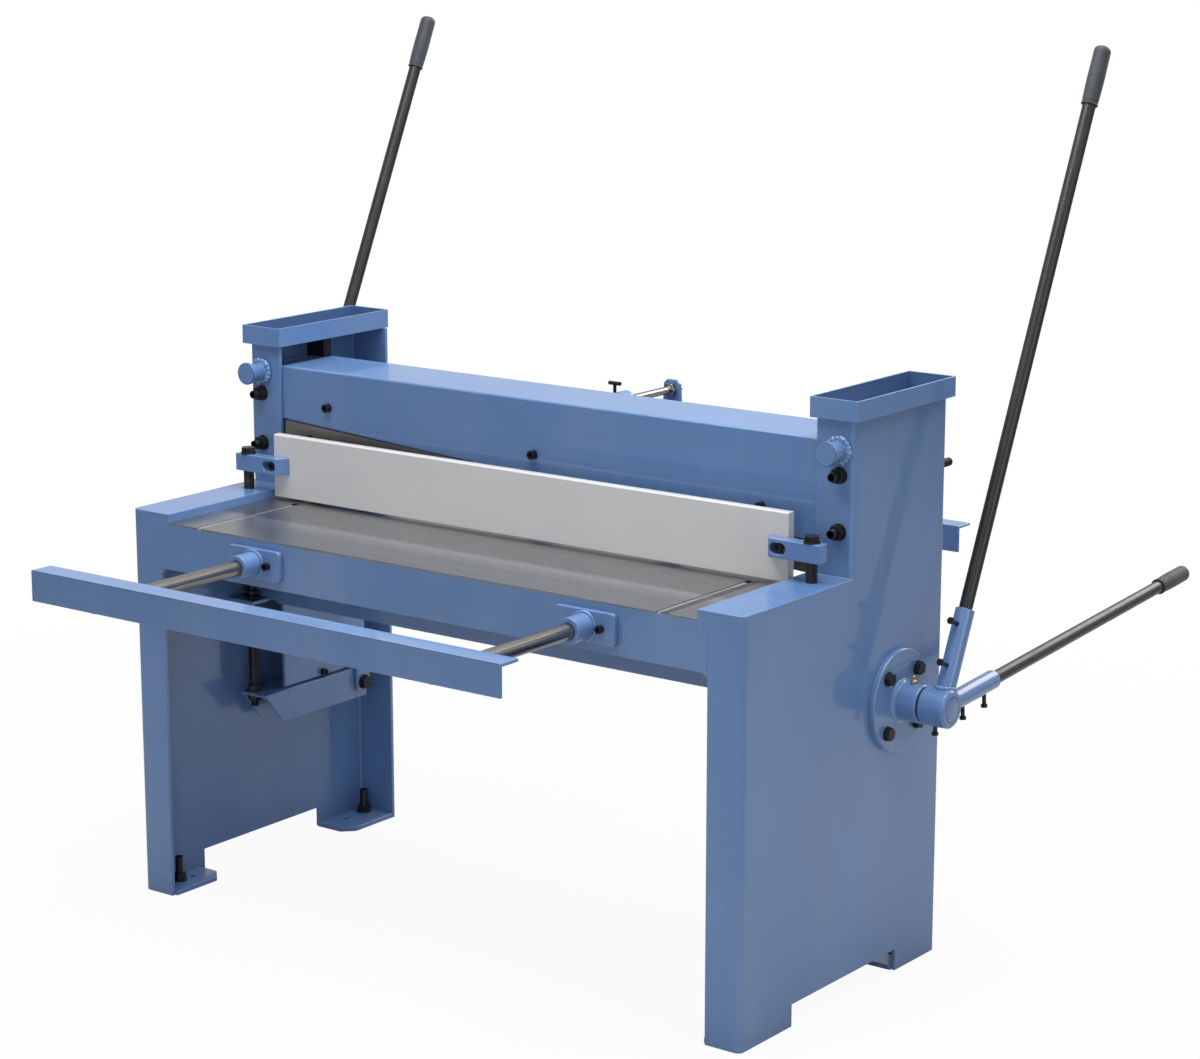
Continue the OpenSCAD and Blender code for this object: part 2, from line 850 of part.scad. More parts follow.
// Bronze bushes of the lever shaft and of the hold-down rods
module bronze_bushes() {
    color(bronze) both_ends() {
        difference() {
            x_bar(shaft_d + 2 * bush_wall, inner_x - bush_out, inner_x - bush_out + bush_l,
                shaft_y, shaft_z);
            x_bar(shaft_d + 2 * run_gap, inner_x - bush_l, inner_x + bush_l, shaft_y, shaft_z);
        }
        difference() {
            z_bar(pull_d + 2 * rod_bush_wall, shelf_h - rod_bush_l, shelf_h, pull_x, pull_y);
            z_bar(pull_d + 2 * run_gap, shelf_h - rod_bush_l - cut, shelf_h + cut, pull_x, pull_y);
        }
    }
}

// Open trays of sheet metal on the column tops
module tool_trays() {
    x0 = half_w - column_flange_w - tray_lip;
    x1 = half_w + tray_lip;
    y0 = column_y - tray_lip;
    y1 = rear_y + tray_lip;
    color(blue) both_ends() difference() {
        span([x0, y0, tray_z], [x1, y1, tray_z + tray_h]);
        span([x0 + tray_t, y0 + tray_t, tray_z + tray_t],
            [x1 - tray_t, y1 - tray_t, tray_z + tray_h + cut]);
    }
}

// Lifting pins on the column fronts: a bar with an end disc and a weld collar
module lifting_pins() {
    color(blue) both_ends() translate([pin_x, column_y, pin_z]) rotate([90, 0, 0]) {
        rotate_extrude() polygon([
            [0, 0], [pin_weld_d / 2, 0], [pin_weld_neck_d / 2, pin_end_t - pin_neck_l],
            [pin_d / 2, pin_end_t], [pin_d / 2, pin_l - pin_end_t - pin_neck_l],
            [pin_end_d / 2 - edge, pin_l - pin_end_t], [pin_end_d / 2, pin_l - pin_end_t + edge],
            [pin_end_d / 2, pin_l - edge], [pin_end_d / 2 - edge, pin_l], [0, pin_l]
        ]);
    }
}

// Gib strips in front of the beam guides, set by studs through the column flanges
module gib_strips() {
    color(bronze) both_ends() {
        span([guide_x, guide_face_y + slide_gap, guide_low_z - gib_over],
            [guide_x + guide_w, guide_face_y + slide_gap + gib_t, guide_top_z + gib_over]);
    }
}
module gib_screws() {
    color(black_steel) both_ends() {
        for (z = gib_stud_z) {
            translate([gib_stud_x, column_y, z]) rotate([90, 0, 0]) {
                stud_with_nut(gib_stud_d, gib_stud_out, frame_t + slide_gap);
            }
        }
    }
}

// Rear guide rails on the side plates, backed by a long jack bolt each
module rear_guide_rails() {
    color(black_steel) both_ends() {
        span([guide_x, beam_rear_y + slide_gap, guide_low_z - rail_low],
            [wall_x, beam_rear_y + slide_gap + rail_d, column_h - rail_top]);
    }
}
module rear_jack_bolts() {
    reach = rear_y - (beam_rear_y + slide_gap + rail_d);
    color(black_steel) both_ends() {
        translate([jack_x, rear_y, jack_z]) rotate([-90, 0, 0]) {
            stud_with_nut(jack_d, jack_out, reach);
        }
    }
}

// Bearing flanges on the side plates, bolted on, with a boss for the lever shaft
module bearing_flanges() {
    color(blue) both_ends() difference() {
        union() {
            translate([half_w, shaft_y, shaft_z]) rotate([0, 90, 0]) rotate_extrude() polygon([
                [0, 0], [flange_d / 2, 0], [flange_d / 2, flange_t - flange_edge],
                [flange_d / 2 - flange_edge, flange_t], [boss_d / 2 + boss_weld, flange_t],
                [boss_d / 2, flange_t + boss_weld], [boss_d / 2, boss_l - flange_edge],
                [boss_d / 2 - flange_edge, boss_l], [0, boss_l]
            ]);
            x_bar(spigot_d, wall_x, half_w, shaft_y, shaft_z);
        }
        x_bar(shaft_d + 2 * run_gap, wall_x - cut, half_w + boss_l + cut, shaft_y, shaft_z);
        at_bearing_bolts() {
            x_bar(flange_bolt_d + 2 * seat_gap, half_w - cut, half_w + flange_t + cut, 0, 0);
        }
        z_bar(nipple_d, shaft_z + shaft_d / 2 + nipple_hole_wall, shaft_z + boss_d / 2 + cut,
            half_w + (flange_t + boss_l) / 2, shaft_y);
    }
}
module bearing_bolts() {
    color(black_steel) both_ends() at_bearing_bolts() {
        translate([half_w + flange_t, 0, 0]) rotate([0, 90, 0]) {
            hex_bolt(flange_bolt_d, flange_t + frame_t);
        }
    }
}
module grease_nipples() {
    color(bronze) both_ends() {
        translate([half_w + (flange_t + boss_l) / 2, shaft_y, shaft_z + boss_d / 2]) {
            translate([0, 0, -nipple_seat]) cylinder(d = nipple_d - 2 * seat_gap, h = nipple_seat);
            rotate_extrude() polygon([
                for (p = nipple_shares) [p[0] * nipple_d, p[1] * nipple_h]
            ]);
        }
    }
}

// Seats of the lifting springs, welded to the side plates
module spring_brackets() {
    color(blue) both_ends() difference() {
        span([pull_x - seat_d / 2, pull_y - seat_d / 2, seat_z - seat_t],
            [wall_x, pull_y + seat_d / 2, seat_z]);
        z_bar(pull_d + 2 * seat_hole_play, seat_z - seat_t - cut, seat_z + cut, pull_x, pull_y);
    }
}

// Ears that carry the rear ends of the hold-down arms
module arm_brackets() {
    inner_ear = arm_x - ear_gap - ear_t;
    outer_ear = arm_x + arm_w + ear_gap;
    color(blue) both_ends() difference() {
        union() {
            span([inner_ear, pivot_y - ear_w / 2, ear_low_z],
                [inner_ear + ear_t, pivot_y + ear_w / 2, ear_top_z]);
            span([inner_ear, pivot_y - ear_w / 2, inner_low_z + ear_step],
                [inner_x, pivot_y + ear_w / 2, ear_top_z]);
            span([outer_ear, pivot_y - ear_w / 2, ear_low_z], [wall_x, pivot_y + ear_w / 2, ear_top_z]);
        }
        x_bar(pivot_d + 2 * seat_gap, inner_ear - cut, wall_x + cut, pivot_y, pivot_z);
    }
}
module arm_pivot_bolts() {
    color(black_steel) both_ends() {
        translate([arm_x - ear_gap - ear_t, pivot_y, pivot_z]) rotate([0, -90, 0]) {
            hex_bolt(pivot_d, arm_w + 2 * ear_gap + 2 * ear_t);
        }
    }
}
module arm_stop_bolts() {
    color(black_steel) both_ends() {
        translate([inner_x, stop_y, stop_z]) rotate([0, -90, 0]) socket_screw(stop_d, inner_t + stop_out);
    }
}

// Rod sockets on the apron: a flange plate with round corners and a tube
module socket_blank(x) {
    r = socket_corner;
    hx = socket_plate_w / 2 - r;
    hz = socket_plate_h / 2 - r;
    y0 = front_y - socket_plate_t;
    span([x - hx - r, y0, support_z - hz], [x + hx + r, front_y, support_z + hz]);
    span([x - hx, y0, support_z - hz - r], [x + hx, front_y, support_z + hz + r]);
    for (sx = [-1, 1], sz = [-1, 1]) {
        y_bar(2 * r, y0, front_y, x + sx * hx, support_z + sz * hz);
    }
    y_bar(socket_tube_d, y0 - socket_tube_l, y0, x, support_z);
}
module support_sockets() {
    color(blue) for (x = [-support_x, support_x]) {
        difference() {
            socket_blank(x);
            y_bar(support_d + 2 * run_gap, front_y - socket_plate_t - socket_tube_l - cut,
                front_y + cut, x, support_z);
            for (s = [-1, 1]) {
                y_bar(socket_screw_d + 2 * seat_gap, front_y - socket_plate_t - cut, front_y + cut,
                    x + s * socket_screw_x, support_z);
            }
        }
    }
}
module socket_screws() {
    color(black_steel) for (x = [-support_x, support_x], s = [-1, 1]) {
        translate([x + s * socket_screw_x, front_y - socket_plate_t, support_z]) {
            rotate([90, 0, 0]) socket_screw(socket_screw_d, socket_plate_t + apron_t);
        }
    }
}

// Coil spring from z = 0 to z = h, as one tube with straight ends:
// a helix with 8 rings of 6 sides a turn
rings_a_turn = 8;
sides = 6;
end_rings = 2;
function coil_point(i, r, wire, h, turns) =
    let (last = turns * rings_a_turn + end_rings, k = min(max(i - 1, 0), last - end_rings))
    let (a = 360 * k / rings_a_turn)
    let (z = i == 0 ? 0 : i == last ? h : wire + (h - 2 * wire) * k / (last - end_rings))
    [r * cos(a), r * sin(a), z];
function coil_path(r, wire, h, turns) =
    [for (i = [0 : turns * rings_a_turn + end_rings]) coil_point(i, r, wire, h, turns)];
function unit(v) = v / norm(v);
function ring_points(path, i, wire) =
    let (last = len(path) - 1)
    let (ahead = i == last ? [0, 0, 1] : i == 0 ? [0, 0, 1] : unit(path[i + 1] - path[i - 1]))
    let (out = unit([path[i][0], path[i][1], 0]), side = unit(cross(ahead, out)))
    let (up = cross(side, ahead))
    [for (j = [0 : sides - 1])
        let (a = 360 * j / sides) path[i] + wire / 2 * (cos(a) * up + sin(a) * side)];
function quad(a, b, c, d) = [[a, b, c], [a, c, d]];
module coil_spring(r, wire, h, turns) {
    path = coil_path(r, wire, h, turns);
    rings = len(path);
    points = [for (i = [0 : rings - 1]) each ring_points(path, i, wire)];
    walls = [for (i = [0 : rings - 2], j = [0 : sides - 1])
        let (k = (j + 1) % sides)
        each quad(i * sides + j, i * sides + k, (i + 1) * sides + k, (i + 1) * sides + j)];
    low = [for (j = [1 : sides - 2]) [0, j + 1, j]];
    top = (rings - 1) * sides;
    high = [for (j = [1 : sides - 2]) [top, top + j, top + j + 1]];
    polyhedron(points = points, faces = concat(walls, low, high));
}
function least_gap(path, wire) =
    min([for (i = [1 : len(path) - end_rings - rings_a_turn])
        norm(path[i + rings_a_turn] - path[i])]) - wire;

// Presser springs between the hold-down arms and the crosshead forks
press_z = arm_top_z + slide_gap;
press_h = fork_z - fork_half_h - fork_wall - slide_gap - press_z;
module presser_springs() {
    echo(presser_spring_gap = least_gap(coil_path(press_spring_r, press_wire, press_h, press_turns),
        press_wire));
    color(black_steel) for (x = [-fork_x, fork_x]) {
        translate([x, pull_rod_y, press_z]) {
            coil_spring(press_spring_r, press_wire, press_h, press_turns);
        }
    }
}

// Lifting springs around the hold-down rods
lift_h = lift_top_z - slide_gap - seat_z;
module lifting_springs() {
    echo(lifting_spring_gap = least_gap(coil_path(lift_spring_r, lift_wire, lift_h, lift_turns),
        lift_wire));
    color(black_steel) for (x = [-pull_x, pull_x]) {
        translate([x, pull_y, seat_z]) coil_spring(lift_spring_r, lift_wire, lift_h, lift_turns);
    }
}

// Lever shaft across the whole machine
module cross_shaft() {
    end_x = hub_x + hub_l - shaft_inset;
    color(ground_steel) x_bar(shaft_d, -end_x, end_x, shaft_y, shaft_z);
}

// Places on the crank, with y and z counted from the shaft's axis
function crank_y() = -crank_r * cos(swing / 2);
function crank_z() = crank_r * sin(swing / 2);

// Cranks inside the columns, each with its pin
module crank_arms() {
    color(black_steel) both_ends() translate([0, shaft_y, shaft_z]) {
        difference() {
            union() {
                hull() {
                    x_bar(crank_boss_d, crank_x, crank_x + crank_t, crank_y(), crank_z());
                    x_bar(crank_hub_d * crank_neck_share, crank_x, crank_x + crank_t, 0, 0);
                }
                x_bar(crank_hub_d, crank_x, crank_x + crank_t, 0, 0);
                x_bar(crank_pin_d, fork_x - roller_l / 2, crank_x + cut, crank_y(), crank_z());
            }
            x_bar(shaft_d + 2 * seat_gap, crank_x - cut, crank_x + crank_t + cut, 0, 0);
        }
    }
}
module crank_rollers() {
    color(bronze) both_ends() translate([0, shaft_y, shaft_z]) difference() {
        x_bar(roller_d, fork_x - roller_l / 2, fork_x + roller_l / 2, crank_y(), crank_z());
        x_bar(crank_pin_d + 2 * run_gap, fork_x - roller_l, fork_x + roller_l, crank_y(), crank_z());
    }
}

// Washers between the bearing bosses and the lever hubs
module thrust_washers() {
    color(black_steel) both_ends() difference() {
        x_bar(boss_d - washer_step, hub_x - washer_gap + slide_gap, hub_x, shaft_y, shaft_z);
        x_bar(shaft_d + 2 * seat_gap, hub_x - washer_gap - cut, hub_x + cut, shaft_y, shaft_z);
    }
}

// Directions of the levers around the shaft, in degrees from straight back
front_angle = 90 - lever_lean;
lever_angles = [front_angle, rear_rise];
lever_reaches = [front_reach, rear_reach];

// Turns the y axis of its children to a lever's direction
module along_lever(i) {
    translate([lever_x, shaft_y, shaft_z]) rotate([lever_angles[i], 0, 0]) children();
}

// Lever hubs, each with two welded sockets and a gusset at their foot
module lever_hubs() {
    color(blue) both_ends() difference() {
        union() {
            translate([hub_x, shaft_y, shaft_z]) rotate([0, 90, 0]) rotate_extrude() polygon([
                [0, 0], [boss_d / 2 - hub_edge, 0], [boss_d / 2, hub_edge],
                [boss_d / 2, hub_l - hub_chamfer],
                [boss_d / 2 - hub_chamfer, hub_l], [0, hub_l]
            ]);
            for (i = [0, 1]) {
                along_lever(i) y_bar(socket_d, 0, socket_reach, 0, 0);
            }
        }
        x_bar(shaft_d + 2 * seat_gap, hub_x - cut, hub_x + hub_l + cut, shaft_y, shaft_z);
        for (i = [0, 1]) {
            along_lever(i) {
                y_bar(lever_d + 2 * seat_gap, tube_start, socket_reach + cut, 0, 0);
                for (share = set_screw_shares) {
                    rotate([i * 180, 0, 0]) {
                        z_bar(set_screw_d + 2 * seat_gap, 0, socket_d,
                            0, (1 - 2 * i) * socket_reach * share);
                    }
                }
            }
        }
        z_bar(set_screw_d + 2 * seat_gap, shaft_z - boss_d, shaft_z,
            hub_x + hub_l * hub_screw_share, shaft_y);
    }
}

// Lever tubes, and the rubber grips over their ends
module lever_tube(i) {
    along_lever(i) difference() {
        y_bar(lever_d, tube_start, lever_reaches[i] - tube_stop_gap, 0, 0);
        y_bar(lever_d - 2 * lever_wall, tube_start - cut, lever_reaches[i], 0, 0);
    }
}
module front_lever_tubes() {
    color(black_steel) both_ends() lever_tube(0);
}
module rear_lever_tubes() {
    color(black_steel) both_ends() lever_tube(1);
}
module lever_grip(i) {
    r = grip_d / 2;
    round_r = r * grip_round_share;
    along_lever(i) translate([0, lever_reaches[i] - grip_l, 0]) rotate([-90, 0, 0]) difference() {
        rotate_extrude() polygon(concat(
            [[0, 0], [r - edge, 0], [r, edge]],
            [for (a = grip_angles) [r - round_r + round_r * cos(a), grip_l - round_r + round_r * sin(a)]],
            [[0, grip_l]]
        ));
        translate([0, 0, -cut]) {
            cylinder(d = lever_d + 2 * seat_gap, h = grip_l - tube_stop_gap + cut + seat_gap);
        }
    }
}
module front_lever_grips() {
    color(rubber_grey) both_ends() lever_grip(0);
}
module rear_lever_grips() {
    color(rubber_grey) both_ends() lever_grip(1);
}

// Hexagon set screws of the sockets, two each, and of the hubs
module set_screw(out, depth) {
    translate([0, 0, -depth]) cylinder(d = set_screw_d, h = depth + out);
    translate([0, 0, out - set_screw_d * head_h_share]) hexagon(set_screw_d, set_screw_d * head_h_share);
}
module lever_set_screws() {
    depth = (socket_d - lever_d) / 2 - slide_gap;
    color(black_steel) both_ends() {
        for (i = [0, 1], share = set_screw_shares) {
            along_lever(i) rotate([i * 180, 0, 0]) {
                translate([0, (1 - 2 * i) * socket_reach * share, socket_d / 2]) {
                    set_screw(set_screw_out, depth);
                }
            }
        }
        translate([hub_x + hub_l * hub_screw_share, shaft_y, shaft_z - boss_d / 2]) rotate([180, 0, 0]) {
            set_screw(hub_screw_out, (boss_d - shaft_d) / 2 - slide_gap);
        }
    }
}

// Blade beam: a welded box, its lower edge falling to the right, with the lock socket behind
module blade_beam() {
    floor_y = beam_wall_y + carrier_t;
    color(blue) difference() {
        union() {
            xz_plate(beam_y, beam_rear_y, [
                [-beam_half, edge_z(-beam_half)], [beam_half, edge_z(beam_half)],
                [beam_half, beam_top_z], [-beam_half, beam_top_z]
            ]);
            y_bar(lock_tube_d, beam_rear_y - cut, beam_rear_y + lock_tube_l, 0, lock_z);
        }
        xz_plate(beam_wall_y, beam_rear_y - beam_t, [
            [-beam_half + beam_t, edge_z(-beam_half) + beam_t],
            [beam_half - beam_t, edge_z(beam_half) + beam_t],
            [beam_half - beam_t, beam_top_z - beam_t], [-beam_half + beam_t, beam_top_z - beam_t]
        ]);
        // Slot in the floor for the blade carrier
        xz_plate(beam_wall_y, floor_y, [
            [-upper_blade_half, edge_z(-upper_blade_half) - cut],
            [upper_blade_half, edge_z(upper_blade_half) - cut],
            [upper_blade_half, edge_z(upper_blade_half) + beam_t + floor_clear],
            [-upper_blade_half, edge_z(-upper_blade_half) + beam_t + floor_clear]
        ]);
        at_face_bolts() face_bolt_hole();
        y_bar(lock_rod_d + 2 * run_gap, beam_rear_y - beam_t - cut, beam_rear_y + lock_tube_l + cut,
            0, lock_z);
        z_bar(lock_screw_d + 2 * run_gap, lock_z, lock_z + lock_tube_d, 0, lock_screw_y);
        for (x = [-gauge_rod_x, gauge_rod_x]) {
            y_bar(gauge_rod_d + 2 * seat_gap, beam_rear_y - beam_t - cut, beam_rear_y + cut,
                x, gauge_rod_z);
        }
    }
}
module at_face_bolts() {
    for (x = [-face_bolt_x, 0, face_bolt_x]) {
        translate([x, beam_y, edge_z(x) + face_bolt_rise]) rotate([90, 0, 0]) children();
    }
}

module face_bolt_hole() {
    depth = beam_t + carrier_t;
    translate([0, 0, -depth - cut]) cylinder(d = face_bolt_d + 2 * seat_gap, h = depth + 2 * cut);
}

// Bar inside the beam's front wall, which carries the upper blade below the beam
module blade_carrier() {
    low = upper_blade_h - carrier_up;
    color(blade_steel) difference() {
        xz_plate(beam_wall_y, beam_wall_y + carrier_t, [
            [-upper_blade_half, edge_z(-upper_blade_half) - low],
            [upper_blade_half, edge_z(upper_blade_half) - low],
            [upper_blade_half, edge_z(upper_blade_half) + carrier_rise],
            [-upper_blade_half, edge_z(-upper_blade_half) + carrier_rise]
        ]);
        at_face_bolts() face_bolt_hole();
        at_blade_screws() {
            translate([0, 0, -blade_t - beam_t - carrier_t - cut]) {
                cylinder(d = blade_screw_d + 2 * seat_gap, h = blade_t + beam_t + carrier_t);
            }
        }
    }
}
module at_blade_screws() {
    for (i = [-blade_half_screws : blade_half_screws]) {
        x = i * blade_screw_step;
        translate([x, cut_y, edge_z(x) - upper_blade_h / 2]) rotate([90, 0, 0]) children();
    }
}

// Upper blade, on the front of the carrier and just proud of the beam's face
module upper_blade() {
    back = beam_wall_y;
    color(blade_steel) difference() {
        xz_plate(cut_y, back, [
            [-upper_blade_half, edge_z(-upper_blade_half) - upper_blade_h],
            [upper_blade_half, edge_z(upper_blade_half) - upper_blade_h],
            [upper_blade_half, edge_z(upper_blade_half)],
            [-upper_blade_half, edge_z(-upper_blade_half)]
        ]);
        at_blade_screws() translate([0, 0, -sink]) countersunk_hole(blade_screw_d, blade_t + beam_t);
    }
}
module blade_screws() {
    color(black_steel) at_blade_screws() {
        translate([0, 0, -sink]) {
            countersunk_screw(blade_screw_d, beam_wall_y - cut_y + carrier_t - screw_short);
        }
    }
}
module beam_face_bolts() {
    color(black_steel) at_face_bolts() socket_screw(face_bolt_d, beam_t + carrier_t - carrier_up);
}

// Guide blocks welded to the beam's ends, with a lug for the pull rod
module beam_end_guides() {
    color(blue) both_ends() difference() {
        span([beam_half, guide_front_y, guide_low_z], [guide_x + guide_w, beam_rear_y, guide_top_z]);
        span([beam_half + guide_inner_wall, guide_front_y + guide_wall, lug_z + lug_t],
            [guide_x + guide_w - guide_outer_wall, beam_rear_y - guide_wall, guide_top_z + cut]);
        span([beam_half + guide_inner_wall, guide_front_y + guide_wall, guide_low_z - cut],
            [guide_x + guide_w - guide_outer_wall, beam_rear_y - guide_wall, lug_z]);
        z_bar(pull_rod_d + 2 * seat_gap, guide_low_z - cut, guide_top_z + cut, fork_x, pull_rod_y);
    }
}

// Pull rods from the forks up to the beam's lugs, held by a nut above and below each lug
module pull_rods() {
    color(ground_steel) both_ends() {
        z_bar(pull_rod_d, fork_z + fork_half_h + fork_wall, lug_z + lug_t + nut_t + rod_thread,
            fork_x, pull_rod_y);
    }
}
module pull_rod_nuts() {
    color(black_steel) both_ends() {
        for (z = [lug_z - nut_t, lug_z + lug_t]) {
            translate([fork_x, pull_rod_y, z]) difference() {
                rotate([0, 0, hex_turn]) cylinder(d = nut_side * hex_corner_share, h = nut_t, $fn = 6);
                translate([0, 0, -cut]) cylinder(d = pull_rod_d + 2 * seat_gap, h = nut_t + 2 * cut);
            }
        }
    }
}

// Forks that the crank rollers run in, open towards the shaft
module crosshead_forks() {
    x0 = fork_x - fork_t / 2;
    x1 = fork_x + fork_t / 2;
    half = fork_half_h + fork_wall;
    corner = fork_corner;
    color(ground_steel) both_ends() {
        yz_plate(x0, x1, [
            [fork_front_y, fork_z - half + corner], [fork_front_y + corner, fork_z - half],
            [fork_rear_y, fork_z - half], [fork_rear_y, fork_z - fork_half_h],
            [fork_front_y + fork_wall, fork_z - fork_half_h],
            [fork_front_y + fork_wall, fork_z + fork_half_h],
            [fork_rear_y, fork_z + fork_half_h], [fork_rear_y, fork_z + half],
            [fork_front_y + corner, fork_z + half], [fork_front_y, fork_z + half - corner]
        ]);
        z_bar(spring_pin_d, fork_z - half - spring_pin_l, fork_z - half + cut, fork_x, pull_rod_y);
    }
}

// Guide rods of the back gauge, screwed into the beam's rear wall
module gauge_guide_rods() {
    color(ground_steel) for (x = [-gauge_rod_x, gauge_rod_x]) {
        y_bar(gauge_rod_d, beam_rear_y - beam_t, gauge_rod_end_y, x, gauge_rod_z);
        y_bar(gauge_collar_d, beam_rear_y, beam_rear_y + gauge_collar_t, x, gauge_rod_z);
    }
}

// Hold-down bar in front of the blade, with chamfered upper edges
module hold_down_bar() {
    top = bar_low_z + bar_h;
    color(grey_paint) difference() {
        yz_plate(-bar_half, bar_half, [
            [bar_y, bar_low_z + edge], [bar_y + edge, bar_low_z], [bar_y + bar_t - edge, bar_low_z],
            [bar_y + bar_t, bar_low_z + edge], [bar_y + bar_t, top - bar_chamfer],
            [bar_y + bar_t - bar_chamfer, top], [bar_y + bar_chamfer, top], [bar_y, top - bar_chamfer]
        ]);
        both_ends() at_bracket_screw() {
            translate([0, 0, -bar_t - cut]) {
                cylinder(d = bracket_screw_d + 2 * seat_gap, h = bar_t + 2 * cut);
            }
        }
    }
}
module at_bracket_screw() {
    translate([bracket_screw_x, bar_y, bracket_low_z + bracket_h / 2]) rotate([90, 0, 0]) children();
}

// Brackets that join the bar to its rods, each with a slot for its screw
module clamp_brackets() {
    r = bracket_slot_w / 2;
    mid_z = bracket_low_z + bracket_h / 2;
    x1 = pull_x + bracket_over;
    color(blue) both_ends() difference() {
        chamfered_block(bracket_x, x1, bracket_y, bar_y, bracket_low_z, bracket_low_z + bracket_h,
            bracket_edge);
        for (s = [-1, 1]) {
            y_bar(bracket_slot_w, bracket_y - cut, bar_y + cut,
                bracket_screw_x + s * (bracket_slot_l / 2 - r), mid_z);
        }
        span([bracket_screw_x - bracket_slot_l / 2 + r, bracket_y - cut, mid_z - r],
            [bracket_screw_x + bracket_slot_l / 2 - r, bar_y + cut, mid_z + r]);
        z_bar(stud_d + 2 * seat_gap, bracket_low_z - cut, bracket_low_z + bracket_h + cut,
            pull_x, pull_y);
    }
}

// A block whose four upright edges are chamfered
module chamfered_block(x0, x1, y0, y1, z0, z1, c) {
    translate([0, 0, z0]) linear_extrude(z1 - z0) polygon([
        [x0 + c, y0], [x1 - c, y0], [x1, y0 + c], [x1, y1 - c],
        [x1 - c, y1], [x0 + c, y1], [x0, y1 - c], [x0, y0 + c]
    ]);
}

// Socket screws sunk in the bracket slots, on a washer that bridges the slot inside
module bracket_screws() {
    color(black_steel) both_ends() at_bracket_screw() {
        difference() {
            cylinder(d = bracket_head_d, h = bracket_head_h);
            translate([0, 0, bracket_head_h / 2]) {
                cylinder(d = bracket_screw_d * cap_key_share, h = bracket_head_h, $fn = 6);
            }
        }
        translate([0, 0, sink - bar_t]) cylinder(d = bracket_screw_d, h = bar_t - sink);
    }
}

// Rods that pull the bar down: hex head, stud through the bracket, rod, collar and thread
module hold_down_rods() {
    color(black_steel) both_ends() translate([pull_x, pull_y, 0]) {
        top = bracket_low_z + bracket_h;
        translate([0, 0, top]) hex_bolt(stud_d, bracket_h + cut);
        translate([0, 0, rod_low_z]) cylinder(d = pull_d, h = bracket_low_z - rod_low_z);
        translate([0, 0, lift_top_z]) cylinder(d = collar_d, h = collar_t);
        translate([0, 0, stud_low_z]) cylinder(d = stud_d, h = rod_low_z - stud_low_z + cut);
    }
}
module hold_down_rod_nuts() {
    nut_h = stud_d * nut_h_share;
    color(black_steel) both_ends() translate([pull_x, pull_y, 0]) {
        for (z = [arm_top_z + rod_nut_gap, arm_top_z - arm_t - rod_nut_gap - nut_h]) {
            translate([0, 0, z]) difference() {
                rotate([0, 0, hex_turn]) hexagon(stud_d, nut_h);
                translate([0, 0, -cut]) cylinder(d = stud_d + 2 * seat_gap, h = nut_h + 2 * cut);
            }
        }
    }
}

// Hold-down arms: inverted channels, hinged at the rear, their noses under the rods
module hold_down_arms() {
    x1 = arm_x + arm_w;
    side = [
        [arm_nose_y, arm_top_z], [arm_chin_y, arm_low_z], [arm_rear_y, arm_low_z],
        [arm_rear_y, arm_top_z]
    ];
    color(blue) both_ends() difference() {
        union() {
            yz_plate(arm_x, arm_x + arm_t, side);
            yz_plate(x1 - arm_t, x1, side);
            span([arm_x, arm_nose_y, arm_top_z - arm_t], [x1, arm_rear_y, arm_top_z]);
        }
        z_bar(stud_d + 2 * arm_hole_play, arm_top_z - arm_t - cut, arm_top_z + cut, pull_x, pull_y);
        x_bar(pivot_d + 2 * run_gap, arm_x - cut, x1 + cut, pivot_y, pivot_z);
    }
}

// Front support: ground rods and the angle they carry
support_y = front_y - support_reach;
module support_rods() {
    color(ground_steel) for (x = [-support_x, support_x]) {
        y_bar(support_d, support_y + support_t, front_y + support_engage, x, support_z);
    }
}
module support_angle() {
    color(blue) yz_plate(-support_half, support_half, [
        [support_y, table_z - support_h], [support_y + support_t, table_z - support_h],
        [support_y + support_t, table_z - support_t], [support_y + support_w, table_z - support_t],
        [support_y + support_w, table_z], [support_y + edge, table_z], [support_y, table_z - edge]
    ]);
}

// Back gauge: angle, hangers with bushes on the guide rods, and the locking rod
module gauge_angle() {
    top = gauge_top_z;
    color(blue) yz_plate(-gauge_half, gauge_half, [
        [gauge_y, top - gauge_h], [gauge_y + gauge_t, top - gauge_h],
        [gauge_y + gauge_t, top - gauge_t], [gauge_y + gauge_w, top - gauge_t],
        [gauge_y + gauge_w, top], [gauge_y + edge, top], [gauge_y, top - edge]
    ]);
}
hanger_y = gauge_y + hanger_set_back;
module gauge_hangers() {
    half = hanger_w / 2;
    bush = gauge_bush_d / 2;
    corner = hanger_corner;
    bush_y = hanger_y + hanger_t / 2 - gauge_bush_l / 2;
    color(blue) {
        for (x = [-gauge_rod_x, gauge_rod_x]) {
            difference() {
                union() {
                    xz_plate(hanger_y, hanger_y + hanger_t, [
                        [x - half, gauge_top_z], [x + half, gauge_top_z], [x + half, gauge_top_z + half],
                        [x + bush, gauge_rod_z], [x - bush, gauge_rod_z], [x - half, gauge_top_z + half]
                    ]);
                    y_bar(gauge_bush_d, bush_y, bush_y + gauge_bush_l, x, gauge_rod_z);
                }
                y_bar(gauge_rod_d + 2 * run_gap, bush_y - cut, bush_y + gauge_bush_l + cut,
                    x, gauge_rod_z);
            }
        }
        difference() {
            xz_plate(hanger_y, hanger_y + hanger_t, [
                [-half, gauge_top_z], [half, gauge_top_z], [half, gauge_top_z + half],
                [bush, lock_z + bush - corner], [bush - corner, lock_z + bush],
                [corner - bush, lock_z + bush], [-bush, lock_z + bush - corner],
                [-half, gauge_top_z + half]
            ]);
            y_bar(lock_rod_d + 2 * seat_gap, hanger_y - cut, hanger_y + hanger_t + cut, 0, lock_z);
        }
    }
}
